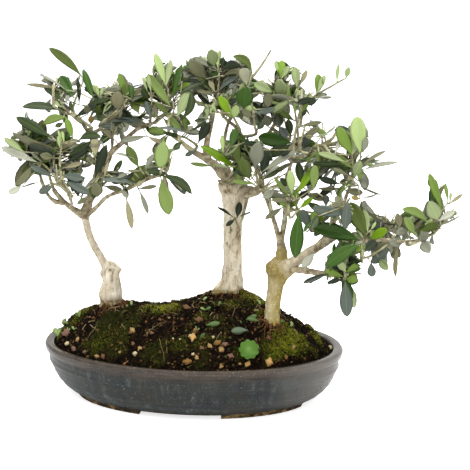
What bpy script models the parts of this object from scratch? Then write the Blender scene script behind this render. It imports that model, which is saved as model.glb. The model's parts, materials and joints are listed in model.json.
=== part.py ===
"""Olive bonsai forest: three small olive trees on a mound of soil in an oval glazed pot.

Metres, +Z up, the pot's length along X and its front towards -Y. The sizes below are in millimetres
and are written in the pot's own frame, whose origin is under the pot's centre. At the end everything
is set over the middle of the whole plant's box, which is the part's origin.

Each limb is one tapering tube worked out from its reach and its bow. Each mass of foliage grows by one
seeded rule: twigs leave a stem by turns, and opposite pairs of leaves stand on them, each pair a
quarter turn from the last, as on a real olive.
"""

import math
import random
from collections import namedtuple

import bmesh
import bpy
from mathutils import Matrix, Vector
from mathutils.bvhtree import BVHTree

MM = 0.001
GAP = 0.3
UP = Vector((0, 0, 1))

# The pot is an ellipse in plan. A wall point is its height and its share of the rim's ellipse.
POT_LENGTH = 300
POT_WIDTH = 186
POT_SIDES = 36
POT_WALL = [(0, 0.785), (4, 0.80), (10, 0.865), (20, 0.925), (32, 0.96), (35, 0.972), (44, 0.974),
            (46, 0.992), (51, 1.0), (54, 0.985)]
POT_INSIDE = [(53, 0.94), (46, 0.925), (24, 0.86), (11, 0.73)]
UNDERSIDE = [(4.4, 0.645), (0, 0.65)]
NOTCH_HEIGHT = 4.0
FRONT_NOTCH = 80
END_NOTCH = 46

# The soil fills the pot and rises in a mound. A hump is its place, height and breadth. The rings of
# its top start a mark above its edge, by which they are found and set on the ground.
SOIL_SIDE = [(11.3, 0.724), (24, 0.854), (46, 0.919), (49, 0.925)]
SOIL_RINGS = (0.8, 0.66, 0.52, 0.38, 0.24, 0.1)
RING_MARK = 1.0
MOUND_HEIGHT = 47
MOUND_POWER = 3
MOUND_HUMPS = [((36, 22), 7, 24), ((-30, 25), -9, 24), ((-108, 0), 5, 19), ((-83, 4), 2, 20),
               ((82, -28), 3, 22)]
SEAT_CLEAR = 1.2
SEAT_TOP = 30
SEAT_SIDES = 20

# A trunk's foot is on the ground, its girth is its radius at even steps from foot to top, and its
# roots swell out of its foot by a share of that radius.
Trunk = namedtuple("Trunk", "name foot reach bow girth roots")
TRUNKS = [
    Trunk("trunk_left", (-83, 4, 86), (-1, 0, 43), (0, 0, 0), (12.4, 10.4, 10.8, 10.4, 9.4, 9.0, 6.4), 0.12),
    Trunk("trunk_middle", (36, 22, 98), (4, 0, 123), (-1, 0, 0),
          (15.0, 11.0, 9.2, 8.4, 8.3, 8.3, 8.5, 9.2, 11.2, 12.4, 11.0, 7.0), 0.2),
    Trunk("trunk_right", (82, -28, 80), (6, 0, 68), (-1, 0, 0),
          (9.6, 7.8, 7.2, 7.2, 7.6, 8.8, 11.8, 12.6, 8.0), 0.12),
]
TRUNK_SIDES = 12
ROOT_LOBES = 5

# A limb leaves its parent at a share of the parent's length. Its reach runs from there to its tip, its
# bow is how far its middle stands off that straight line, and its radii are those of its two ends.
Limb = namedtuple("Limb", "name parent leaves reach bow radii")
STEM = Limb("stem_left", "trunk_left", 0.82, (-25, -2, 60), (-1, 1, -1), (3.6, 3.6))
BOUGHS = [
    Limb("left_crown", "stem_left", 0.96, (68, 20, 91), (-7, 0, 17), (3.2, 1.5)),
    Limb("left_low", "stem_left", 0.97, (-26, -16, 28), (1, 0, -6), (3.2, 2.0)),
    Limb("left_right", "stem_left", 0.92, (82, -36, 52), (-9, 2, 1), (2.4, 1.4)),
    Limb("left_outer", "left_low", 0.7, (-24, 1, 27), (-1, -5, -8), (2.0, 1.5)),
    Limb("left_top", "left_crown", 0.23, (-23, -25, 72), (9, 6, 13), (2.5, 1.4)),
    Limb("left_top_right", "left_top", 0.5, (32, 22, 28), (1, -3, -2), (1.9, 1.3)),
    Limb("left_back", "left_crown", 0.29, (5, 36, 37), (4, 2, -9), (1.8, 1.2)),
    Limb("left_centre", "left_top", 0.23, (13, -35, -5), (-1, -4, 3), (1.6, 1.2)),
    Limb("left_under", "left_low", 0.53, (8, -36, 23), (2, 0, -2), (1.6, 1.2)),
    Limb("middle_left", "trunk_middle", 0.93, (-53, -20, 45), (-7, 0, 7), (3.2, 1.6)),
    Limb("middle_up", "middle_left", 0.37, (4, 15, 44), (-1, 0, -1), (2.6, 1.9)),
    Limb("middle_front", "trunk_middle", 0.95, (1, -36, 63), (15, -2, 4), (2.6, 1.6)),
    Limb("middle_back", "trunk_middle", 0.96, (39, 38, 59), (5, 7, 1), (2.6, 1.5)),
    Limb("middle_right", "trunk_middle", 0.86, (26, -30, 30), (16, -3, -7), (5.0, 1.4)),
    Limb("middle_rear", "trunk_middle", 0.94, (-13, 58, 52), (-9, 7, -3), (2.4, 1.5)),
    Limb("right_tall", "trunk_right", 0.98, (13, 42, 131), (4, -1, -2), (4.2, 1.2)),
    Limb("right_inner", "right_tall", 0.2, (-18, 2, 40), (-1, -3, 2), (2.6, 1.6)),
    Limb("right_centre", "right_tall", 0.36, (6, -32, 18), (1, -4, 2), (1.8, 1.3)),
    Limb("right_tall_side", "right_tall", 0.74, (23, -28, 15), (3, -2, -2), (1.5, 1.1)),
    Limb("right_rear", "right_tall", 0.43, (24, 61, 33), (6, 0, 0), (2.2, 1.4)),
    Limb("right_side", "trunk_right", 0.94, (60, -32, 38), (1, -2, 2), (4.0, 2.3)),
    Limb("right_rise", "right_side", 0.68, (28, 26, 59), (3, -1, 0), (2.3, 1.4)),
    Limb("right_mid", "right_rise", 0.43, (1, -31, 20), (2, -1, 0), (1.6, 1.2)),
    Limb("right_far", "right_side", 1.0, (74, 16, -5), (0, -4, -2), (2.1, 1.3)),
    Limb("right_elbow", "right_far", 0.46, (8, 41, -2), (-1, 2, 1), (1.4, 1.1)),
    Limb("right_low", "trunk_right", 0.82, (63, -46, 6), (4, -3, -1), (3.0, 1.8)),
]
LIMB_STEP = 15
LIMB_SIDES = 6
CROOK_SHARE = 0.022
CROOK_WAVE = 30
SHARP_ANGLE = 40

# A mass grows from its limb's tip, or from a trunk at a share of its length. Its stem has a reach, and
# its space is an ellipsoid of these half sizes round the stem's middle, moved by an offset.
Mass = namedtuple("Mass", "name limb leaves reach twigs twig leaf space offset seed")
MASSES = [
    Mass("leaves_left_outer", "left_outer", 1, (-4, -7, 28), 5, 29, 36, (42, 44, 50), (2, 0, 0), 34),
    Mass("leaves_left_under", "left_under", 1, (-12, -12, 10), 4, 26, 35, (44, 40, 36), (0, 0, 0), 9),
    Mass("leaves_left_low", "left_low", 1, (6, -7, 34), 5, 29, 36, (44, 38, 44), (0, 0, 2), 31),
    Mass("leaves_left_crown", "left_crown", 1, (6, 2, 33), 5, 31, 37, (46, 41, 48), (4, 0, 2), 2),
    Mass("leaves_left_right", "left_right", 1, (12, -10, 9), 5, 30, 38, (50, 44, 46), (-4, 0, 0), 3),
    Mass("leaves_left_top", "left_top", 1, (-8, -7, 28), 5, 30, 38, (48, 44, 46), (0, 0, 2), 5),
    Mass("leaves_left_top_right", "left_top_right", 1, (-15, 5, 12), 5, 27, 34, (44, 44, 38), (0, 0, 0), 6),
    Mass("leaves_left_back", "left_back", 1, (6, 19, 12), 4, 30, 36, (48, 48, 44), (0, 0, 0), 7),
    Mass("leaves_left_centre", "left_centre", 1, (6, -14, 1), 5, 26, 36, (42, 38, 42), (0, 0, 0), 8),
    Mass("leaves_middle_left", "middle_left", 1, (-6, -5, 22), 5, 30, 37, (42, 44, 46), (0, 0, 0), 10),
    Mass("leaves_middle_up", "middle_up", 1, (4, 5, 31), 6, 29, 34, (47, 46, 46), (0, 0, 0), 11),
    Mass("leaves_middle_front", "middle_front", 1, (-5, -8, 16), 4, 25, 31, (38, 38, 40), (0, 0, 0), 12),
    Mass("leaves_middle_back", "middle_back", 1, (-4, 6, 28), 5, 30, 34, (52, 48, 48), (-2, 0, 0), 33),
    Mass("leaves_middle_right", "middle_right", 1, (-4, -7, 10), 5, 28, 35, (44, 42, 46), (0, 0, 0), 14),
    Mass("leaves_middle_rear", "middle_rear", 1, (-6, 16, 14), 4, 31, 36, (50, 46, 46), (0, 0, 0), 15),
    Mass("leaves_middle_head", "trunk_middle", 0.9, (-9, -36, 12), 3, 19, 34, (34, 42, 34), (0, 0, 0), 16),
    Mass("leaves_middle_sprout", "trunk_middle", 0.55, (0, -20, 1), 2, 10, 16, (24, 27, 22), (0, 0, 0), 17),
    Mass("leaves_right_rise", "right_rise", 1, (-3, 2, 18), 5, 31, 36, (48, 44, 46), (0, 0, 0), 23),
    Mass("leaves_right_tall", "right_tall", 1, (2, 5, 28), 5, 31, 31, (48, 48, 46), (0, 0, 0), 18),
    Mass("leaves_right_inner", "right_inner", 1, (-2, -9, 6), 5, 25, 33, (40, 36, 42), (0, 0, 0), 19),
    Mass("leaves_right_centre", "right_centre", 1, (2, -11, 8), 5, 26, 31, (40, 38, 42), (0, 0, 2), 20),
    Mass("leaves_right_tall_side", "right_tall_side", 1, (12, -8, 4), 5, 28, 32, (42, 40, 40), (2, 0, 0), 21),
    Mass("leaves_right_rear", "right_rear", 1, (10, 22, 9), 4, 34, 36, (52, 50, 48), (0, 0, 0), 52),
    Mass("leaves_right_mid", "right_mid", 1, (1, -12, -1), 5, 30, 37, (50, 40, 42), (0, 0, -4), 54),
    Mass("leaves_right_far", "right_far", 1, (26, 5, 22), 5, 28, 33, (50, 40, 48), (0, 0, 2), 25),
    Mass("leaves_right_elbow", "right_elbow", 1, (2, 14, 1), 5, 26, 31, (42, 42, 40), (0, 0, 0), 26),
    Mass("leaves_right_low", "right_low", 1, (2, -9, 6), 5, 27, 36, (44, 42, 46), (0, 0, -2), 27),
]

# The growth rule's own sizes. Angles are in degrees. A name that ends in TAPER runs from a shoot's base
# to its tip, and one that ends in RANGE is the least and the most of a seeded draw. A stem's middle lies
# a share of its reach along the way it leaves its bough and a share along its reach. The first leaves
# stand at one share of a stem and at another of a twig. Lift turns twigs up to the light and droop lets
# leaves hang, as shares of a unit length.
GOLDEN_TURN = 137.5
STEM_MIDDLE = (0.3, 0.2)
TWIG_SPREAD = 66
TWIG_SPREAD_TAPER = (1.15, 0.75)
TWIG_SPREAD_RANGE = (0.7, 1.25)
TWIG_TURN_RANGE = (-25, 25)
TWIG_LENGTH_TAPER = (1.1, 0.8)
TWIG_LENGTH_RANGE = (0.75, 1.15)
TWIG_LIFT = 0.2
PAIR_GAP = 13.0
PAIR_TURN = 90
FIRST_LEAF = (0.6, 0.35)
LAST_LEAF = 0.97
LEAF_SPREAD_TAPER = (64, 26)
LEAF_SPREAD_RANGE = (-14, 14)
LEAF_TURN_RANGE = (-16, 16)
LEAF_LENGTH_RANGE = (0.78, 1.12)
LEAF_DROOP = 0.5
LEAF_ROLL = 34
LEAF_WIDTH = 0.36
LEAF_THICKNESS = 0.042
LEAF_SUNK = 0.25
LEAF_ROOM = 0.12
TIP_LEAF = 0.55
STEM_RADII = (1.6, 1.1)
TWIG_RADII = (1.2, 0.8)
TWIG_SIDES = 3
SPARE = 0.45

Line = namedtuple("Line", "start reach bow crook waves")
Shoot = namedtuple("Shoot", "points headings radii")
Leaf = namedtuple("Leaf", "root direction normal length shoot")


def between(ends, share):
    """The value at a share of the way from one end to the other."""
    return ends[0] + (ends[1] - ends[0]) * share


def turn_of(degrees):
    """Cosine and sine of an angle in degrees."""
    return math.cos(math.radians(degrees)), math.sin(math.radians(degrees))


def square_to(direction):
    """Two unit vectors across a direction."""
    across = direction.cross(UP if abs(direction.z) < 0.9 else Vector((1, 0, 0))).normalized()
    return across, direction.cross(across)


def point_on(line, share):
    """A point of a limb's middle line: a straight reach with a bow and a small crook in it."""
    rise = 4 * share * (1 - share)
    return line.start + line.reach * share + (line.bow + line.crook * math.sin(line.waves * share)) * rise


def heading_on(line, share):
    """The way a limb's middle line runs at a share of its length."""
    step = 0.002
    return (point_on(line, share + step) - point_on(line, share - step)).normalized()


def lines_of_limbs():
    """The middle line of every trunk and limb by its name, each worked out from its parent's."""
    still = Vector((0, 0, 0))
    lines = {t.name: Line(Vector(t.foot), Vector(t.reach), Vector(t.bow), still, 0) for t in TRUNKS}
    for number, limb in enumerate([STEM] + BOUGHS):
        start = point_on(lines[limb.parent], limb.leaves)
        reach = Vector(limb.reach)
        across, other = square_to(reach.normalized())
        aside, over = turn_of(number * GOLDEN_TURN)
        crook = (across * aside + other * over) * (reach.length * CROOK_SHARE)
        lines[limb.name] = Line(start, reach, Vector(limb.bow), crook, reach.length / CROOK_WAVE * math.pi)
    return lines


def shoot_through(points, leaving, radii):
    """A tapering shoot through its points, its first ring square to the way it leaves."""
    legs = len(points) - 1
    headings = [leaving]
    headings += [(points[k + 1] - points[k - 1]).normalized() for k in range(1, legs)]
    headings.append((points[-1] - points[-2]).normalized())
    widths = [between(radii, k / legs) for k in range(legs + 1)]
    return Shoot(points, headings, widths)


def place_on(shoot, share):
    """A point of a shoot and the way the shoot runs there."""
    legs = len(shoot.points) - 1
    leg = min(int(share * legs), legs - 1)
    near, far = shoot.points[leg:leg + 2]
    return near.lerp(far, share * legs - leg), (far - near).normalized()


def shoots_of(mass, lines, rng):
    """The stem of a mass and the twigs that leave it by turns, as far as its tip."""
    line = lines[mass.limb]
    reach = Vector(mass.reach)
    if mass.leaves < 1:
        base = point_on(line, mass.leaves)
        leaving = reach.normalized()
    else:
        leaving = heading_on(line, 1)
        base = point_on(line, 1) + leaving * GAP
    onward, along = STEM_MIDDLE
    middle = base + leaving * (reach.length * onward) + reach * along
    tip = base + reach
    shoots = [shoot_through([base, middle, tip], leaving, STEM_RADII)]
    axis = (tip - middle).normalized()
    across, other = square_to(axis)
    turn = rng.uniform(0, 360)
    for k in range(mass.twigs):
        share = (k + 0.5) / mass.twigs
        root = middle.lerp(tip, share)
        aside, over = turn_of(turn + k * GOLDEN_TURN + rng.uniform(*TWIG_TURN_RANGE))
        spread = TWIG_SPREAD * rng.uniform(*TWIG_SPREAD_RANGE)
        out, off = turn_of(spread * between(TWIG_SPREAD_TAPER, share))
        sideways = across * aside + other * over
        direction = (axis * out + sideways * off + UP * TWIG_LIFT).normalized()
        length = mass.twig * rng.uniform(*TWIG_LENGTH_RANGE) * between(TWIG_LENGTH_TAPER, share)
        shoots.append(shoot_through([root, root + direction * length], direction, TWIG_RADII))
    return shoots


def leaf_on(root, axis, around, spread, length, shoot, rng):
    """A leaf that stands off its shoot's axis at a spread, turned around it."""
    across, other = square_to(axis)
    aside, over = turn_of(around)
    out, off = turn_of(spread)
    radial = across * aside + other * over
    direction = (axis * out + radial * off - UP * rng.uniform(0, LEAF_DROOP)).normalized()
    normal = axis * off - radial * out
    normal = (normal - direction * normal.dot(direction)).normalized()
    roll = math.radians(rng.uniform(-LEAF_ROLL, LEAF_ROLL))
    return Leaf(root, direction, Matrix.Rotation(roll, 3, direction) @ normal, length, shoot)


def leaves_of(mass, shoots, rng):
    """Opposite pairs along the outer part of each shoot, each pair a quarter turn from the last."""
    leaves = []
    for number, shoot in enumerate(shoots):
        first = FIRST_LEAF[1 if number else 0]
        pairs = max(2, round((shoot.points[-1] - shoot.points[0]).length * (1 - first) / PAIR_GAP) + 1)
        turn = rng.uniform(0, 360)
        for pair in range(pairs):
            done = pair / (pairs - 1)
            root, axis = place_on(shoot, between((first, LAST_LEAF), done))
            spread = between(LEAF_SPREAD_TAPER, done)
            size = mass.leaf * (1 - (1 - TIP_LEAF) * done * done)
            for side in (0, 180):
                around = turn + pair * PAIR_TURN + side + rng.uniform(*LEAF_TURN_RANGE)
                opened = spread + rng.uniform(*LEAF_SPREAD_RANGE)
                length = size * rng.uniform(*LEAF_LENGTH_RANGE)
                leaves.append(leaf_on(root, axis, around, opened, length, number, rng))
    return leaves


def frames_along(points, headings, radii):
    """A matrix for each ring of a tube, carried along it without a twist."""
    across = square_to(headings[0])[0]
    frames = []
    for point, heading, radius in zip(points, headings, radii):
        across = (across - heading * across.dot(heading)).normalized()
        turned = Matrix((across, heading.cross(across), heading)).transposed().to_4x4()
        frames.append(Matrix.Translation(point) @ turned @ Matrix.Diagonal((radius, radius, 1, 1)))
    return frames


def tube(points, headings, radii, sides):
    """A closed tube whose rings stand square to its headings."""
    bm = bmesh.new()
    bmesh.ops.create_circle(bm, segments=sides, radius=1, cap_ends=True)
    frames = frames_along(points, headings, radii)
    bmesh.ops.transform(bm, matrix=frames[0], verts=bm.verts)
    edges = list(bm.edges)
    for before, after in zip(frames, frames[1:]):
        grown = bmesh.ops.extrude_edge_only(bm, edges=edges)["geom"]
        ring = [part for part in grown if isinstance(part, bmesh.types.BMVert)]
        edges = [part for part in grown if isinstance(part, bmesh.types.BMEdge) and part.is_boundary]
        bmesh.ops.transform(bm, matrix=after @ before.inverted(), verts=ring)
    bmesh.ops.contextual_create(bm, geom=edges)
    bmesh.ops.recalc_face_normals(bm, faces=bm.faces)
    return bm


def limb_solid(line, radii, spare=0.0):
    """A limb's tapering tube, or the room it takes with some to spare all round."""
    steps = max(2, round(line.reach.length / LIMB_STEP))
    shares = [k / steps for k in range(steps + 1)]
    points = [point_on(line, share) for share in shares]
    headings = [heading_on(line, share) for share in shares]
    points[0] = points[0] - headings[0] * spare
    points[-1] = points[-1] + headings[-1] * spare
    widths = [between(radii, share) + spare for share in shares]
    return tube(points, headings, widths, LIMB_SIDES)


def trunk_solid(trunk, line, spare=0.0):
    """A trunk from its flat foot to its top, with roots that swell out of its foot."""
    steps = len(trunk.girth) - 1
    points = [point_on(line, k / steps) for k in range(steps + 1)]
    points[-1] = points[-1] + UP * spare
    headings = [UP] + [heading_on(line, k / steps) for k in range(1, steps + 1)]
    bm = tube(points, headings, [girth + spare for girth in trunk.girth], TRUNK_SIDES)
    second = points[1].z - points[0].z
    for vert in bm.verts:
        share = max(0, 1 - (vert.co.z - points[0].z) / second)
        from_axis = Vector((vert.co.x - points[0].x, vert.co.y - points[0].y, 0))
        lobes = math.cos(ROOT_LOBES * math.atan2(from_axis.y, from_axis.x))
        vert.co += from_axis * (trunk.roots * share * lobes)
    return bm


def shoot_solid(shoot, spare=0.0):
    """A twig, or the room it takes with some to spare."""
    return tube(shoot.points, shoot.headings, [radius + spare for radius in shoot.radii], TWIG_SIDES)


def leaf_solid(leaf, spare=0.0):
    """A leaf of eight faces, pointed at both ends, or the room it takes with some to spare."""
    bm = bmesh.new()
    bmesh.ops.create_uvsphere(bm, u_segments=4, v_segments=2, radius=1)
    across = leaf.normal.cross(leaf.direction)
    turned = Matrix((across, leaf.normal, leaf.direction)).transposed().to_4x4()
    sizes = (leaf.length * LEAF_WIDTH / 2, leaf.length * LEAF_THICKNESS / 2, leaf.length / 2)
    stretched = Matrix.Diagonal([size + spare for size in sizes] + [1])
    centre = leaf.root + leaf.direction * (leaf.length / 2 - LEAF_SUNK)
    bmesh.ops.transform(bm, matrix=Matrix.Translation(centre) @ turned @ stretched, verts=bm.verts)
    return bm


def add_body(name, bm, material, collection=None):
    """Put a shape in millimetres into the scene as an object in metres. The shape is used up."""
    mesh = bpy.data.meshes.new(name)
    bmesh.ops.scale(bm, vec=(MM, MM, MM), verts=bm.verts)
    bm.to_mesh(mesh)
    bm.free()
    mesh.materials.append(material)
    body = bpy.data.objects.new(name, mesh)
    (collection or bpy.context.scene.collection).objects.link(body)
    return body


def settle(body, smooth=True):
    """Make a body's modifiers its own mesh and drop any loose scrap that they left."""
    graph = bpy.context.evaluated_depsgraph_get()
    settled = bpy.data.meshes.new_from_object(body.evaluated_get(graph))
    body.modifiers.clear()
    spent = body.data
    body.data = settled
    bpy.data.meshes.remove(spent)
    bm = bmesh.new()
    bm.from_mesh(settled)
    pieces = []
    waiting = set(bm.verts)
    while waiting:
        piece = set()
        edge_of_piece = [waiting.pop()]
        while edge_of_piece:
            vert = edge_of_piece.pop()
            piece.add(vert)
            near = [edge.other_vert(vert) for edge in vert.link_edges]
            fresh = [other for other in near if other in waiting]
            waiting.difference_update(fresh)
            edge_of_piece.extend(fresh)
        pieces.append(piece)
    pieces.sort(key=len)
    for scrap in pieces[:-1]:
        bmesh.ops.delete(bm, geom=list(scrap), context="VERTS")
    bm.to_mesh(settled)
    bm.free()
    if smooth:
        settled.shade_smooth()
        settled.set_sharp_from_angle(angle=math.radians(SHARP_ANGLE))


def cut_by(body, rooms):
    """Cut the rooms of other limbs out of a body, by one Boolean that is applied."""
    cutters = bpy.data.collections.new("cutters")
    bpy.context.scene.collection.children.link(cutters)
    for room in rooms:
        add_body("cutter", room, body.data.materials[0], cutters)
    cut = body.modifiers.new("cut", "BOOLEAN")
    cut.operation = "DIFFERENCE"
    cut.operand_type = "COLLECTION"
    cut.collection = cutters
    settle(body)
    remove_all(cutters)


def join_all(body, collection, smooth=True):
    """Fuse a collection's solids into a body, by one Boolean that is applied."""
    union = body.modifiers.new("union", "BOOLEAN")
    union.operation = "UNION"
    union.operand_type = "COLLECTION"
    union.collection = collection
    settle(body, smooth)
    remove_all(collection)


def remove_all(collection):
    """Remove a collection with its objects."""
    for body in list(collection.objects):
        bpy.data.objects.remove(body)
    bpy.data.collections.remove(collection)


def plain_material(name, colour, roughness):
    """A Principled material of one colour."""
    material = bpy.data.materials.new(name)
    material.use_nodes = True
    surface = material.node_tree.nodes["Principled BSDF"]
    surface.inputs["Base Color"].default_value = (*colour, 1)
    surface.inputs["Roughness"].default_value = roughness
    surface.inputs["Metallic"].default_value = 0
    return material


def turned_oval(profile):
    """A closed solid turned round the pot's oval from its heights and shares."""
    points = [Vector((0, 0, height)) for height, share in profile]
    bm = tube(points, [UP] * len(profile), [share for height, share in profile], POT_SIDES)
    bmesh.ops.scale(bm, vec=(POT_LENGTH / 2, POT_WIDTH / 2, 1), verts=bm.verts)
    return bm


def box(sizes, centre):
    """A plain box."""
    bm = bmesh.new()
    bmesh.ops.create_cube(bm, size=1)
    bmesh.ops.scale(bm, vec=sizes, verts=bm.verts)
    bmesh.ops.translate(bm, vec=centre, verts=bm.verts)
    return bm


def make_pot(glaze):
    """The oval pot: one thick wall and floor on a foot ring that four notches cut into feet."""
    pot = add_body("pot", turned_oval(UNDERSIDE + POT_WALL + POT_INSIDE), glaze)
    height = NOTCH_HEIGHT * 2
    front = box((FRONT_NOTCH, POT_WIDTH, height), (0, 0, 0))
    ends = box((POT_LENGTH, END_NOTCH, height), (0, 0, 0))
    cut_by(pot, [front, ends])
    return pot


def ground_at(x, y):
    """The height of the soil's surface, which rises from the pot's edge in a steep-sided mound."""
    edge_height, edge = SOIL_SIDE[-1]
    away = math.hypot(x / (POT_LENGTH / 2 * edge), y / (POT_WIDTH / 2 * edge))
    height = edge_height + MOUND_HEIGHT * max(0, 1 - away ** MOUND_POWER)
    for place, hump, breadth in MOUND_HUMPS:
        distance = math.hypot(x - place[0], y - place[1]) / breadth
        height += hump * math.exp(-distance * distance / 2)
    return height


def make_soil(earth):
    """The soil inside the pot, with a flat seat cut into its mound under each trunk."""
    edge_height, edge = SOIL_SIDE[-1]
    rings = [(edge_height + RING_MARK, edge * share) for share in SOIL_RINGS]
    bm = turned_oval(SOIL_SIDE + rings)
    for vert in bm.verts:
        if vert.co.z > edge_height + RING_MARK / 2:
            vert.co.z = ground_at(vert.co.x, vert.co.y)
    soil = add_body("soil", bm, earth)
    seats = []
    for trunk in TRUNKS:
        seat = bmesh.new()
        radius = trunk.girth[0] * (1 + trunk.roots) + SEAT_CLEAR
        bmesh.ops.create_cone(seat, segments=SEAT_SIDES, radius1=radius, radius2=radius, depth=SEAT_TOP,
                              cap_ends=True)
        middle = Vector(trunk.foot) + UP * (SEAT_TOP / 2 - GAP)
        bmesh.ops.translate(seat, vec=middle, verts=seat.verts)
        seats.append(seat)
    cut_by(soil, seats)
    return soil


def make_limbs(lines, bark):
    """Every trunk and bough, each cut clear of its parent and of the limbs beside it."""
    bodies = []
    for trunk in TRUNKS:
        body = add_body(trunk.name, trunk_solid(trunk, lines[trunk.name]), bark)
        if trunk.name == STEM.parent:
            risers = bpy.data.collections.new("risers")
            bpy.context.scene.collection.children.link(risers)
            add_body("riser", limb_solid(lines[STEM.name], STEM.radii), bark, risers)
            join_all(body, risers)
        else:
            body.data.shade_smooth()
        bodies.append(body)
    made = []
    for limb in BOUGHS:
        body = add_body(limb.name, limb_solid(lines[limb.name], limb.radii), bark)
        family = [other for other in made if limb.parent in (other.parent, other.name)]
        rooms = [limb_solid(lines[other.name], other.radii, GAP) for other in family]
        for trunk in TRUNKS:
            if limb.parent == trunk.name:
                rooms.append(trunk_solid(trunk, lines[trunk.name], GAP))
        if limb.parent == STEM.name:
            rooms.append(limb_solid(lines[STEM.name], STEM.radii, GAP))
        if rooms:
            cut_by(body, rooms)
        else:
            body.data.shade_smooth()
        made.append(limb)
        bodies.append(body)
    return bodies


def tree_of(body):
    """A body's faces for the tests of what touches what, in millimetres."""
    bm = bmesh.new()
    bm.from_mesh(body.data)
    bmesh.ops.scale(bm, vec=(1 / MM, 1 / MM, 1 / MM), verts=bm.verts)
    return tree_in(bm)


def tree_in(bm):
    """A shape's faces for those tests. The shape is used up."""
    tree = BVHTree.FromBMesh(bm)
    bm.free()
    return tree


def touches(bm, trees):
    """Whether a shape meets anything that stands already. The shape is used up."""
    tree = tree_in(bm)
    return any(tree.overlap(other) for other in trees)


def inside(points, centre, space):
    """Whether points lie in a mass's ellipsoid."""
    for point in points:
        away = point - centre
        if (away.x / space[0]) ** 2 + (away.y / space[1]) ** 2 + (away.z / space[2]) ** 2 > 1:
            return False
    return True


def make_mass(mass, lines, foliage, trees):
    """One mass: a stem, its twigs and its leaves, less those that leave its space or touch a limb."""
    rng = random.Random(mass.seed)
    shoots = shoots_of(mass, lines, rng)
    leaves = leaves_of(mass, shoots, rng)
    stem = shoots[0]
    centre = (stem.points[0] + stem.points[-1]) / 2 + Vector(mass.offset)
    kept_shoots = {0}
    for number, shoot in enumerate(shoots[1:], 1):
        clear = not touches(shoot_solid(shoot, SPARE), trees)
        if clear and inside(shoot.points, centre, mass.space):
            kept_shoots.add(number)
    kept_leaves = []
    own = [tree_in(shoot_solid(shoots[number])) for number in sorted(kept_shoots)]
    for leaf in leaves:
        tip = leaf.root + leaf.direction * leaf.length
        if leaf.shoot not in kept_shoots or not inside((leaf.root, tip), centre, mass.space):
            continue
        clear_of_root = leaf.root + leaf.direction * (leaf.length * LEAF_ROOM)
        outer = leaf._replace(root=clear_of_root, length=leaf.length * (1 - LEAF_ROOM))
        if touches(leaf_solid(leaf, SPARE), trees) or touches(leaf_solid(outer), own):
            continue
        kept_leaves.append(leaf)
        own.append(tree_in(leaf_solid(outer)))
    body = add_body(mass.name, shoot_solid(stem), foliage)
    if mass.leaves < 1:
        trunk = next(trunk for trunk in TRUNKS if trunk.name == mass.limb)
        cut_by(body, [trunk_solid(trunk, lines[trunk.name], GAP)])
    growth = bpy.data.collections.new("growth")
    bpy.context.scene.collection.children.link(growth)
    for number in sorted(kept_shoots - {0}):
        add_body("twig", shoot_solid(shoots[number]), foliage, growth)
    for leaf in kept_leaves:
        add_body("leaf", leaf_solid(leaf), foliage, growth)
    join_all(body, growth, smooth=False)
    return body


def main():
    for body in list(bpy.data.objects):
        bpy.data.objects.remove(body)
    glaze = plain_material("iron glaze", (0.06, 0.06, 0.055), 0.3)
    earth = plain_material("damp soil", (0.045, 0.03, 0.018), 0.95)
    bark = plain_material("olive bark", (0.47, 0.42, 0.33), 0.85)
    foliage = plain_material("olive leaf", (0.13, 0.18, 0.055), 0.55)
    lines = lines_of_limbs()
    bodies = [make_pot(glaze), make_soil(earth)] + make_limbs(lines, bark)
    trees = [tree_of(body) for body in bodies]
    for mass in MASSES:
        body = make_mass(mass, lines, foliage, trees)
        trees.append(tree_of(body))
        bodies.append(body)
    corners = [vert.co for body in bodies for vert in body.data.vertices]
    low = [min(corner[axis] for corner in corners) for axis in range(3)]
    high = [max(corner[axis] for corner in corners) for axis in range(3)]
    plant = bpy.data.objects.new("plant", None)
    plant.location = (-(low[0] + high[0]) / 2, -(low[1] + high[1]) / 2, -low[2])
    bpy.context.scene.collection.objects.link(plant)
    for body in bodies:
        body.parent = plant


main()
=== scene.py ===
"""The looks of an olive bonsai forest: bark, leaves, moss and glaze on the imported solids.

Sizes are in millimetres in the pot's own frame, whose origin is under the pot's centre, with the pot's
length along X and its front towards -Y. A finished mesh is moved into the frame's metres as it is made.
The limbs and the first twigs repeat the part's own growth rule, which is carried on here to finer twigs
and to leaves of real thinness.
"""

import json
import math
import random
from collections import namedtuple
from functools import cache

import bmesh
import bpy
import numpy as np
from mathutils import Matrix, Vector, noise
from mathutils.bvhtree import BVHTree

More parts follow.
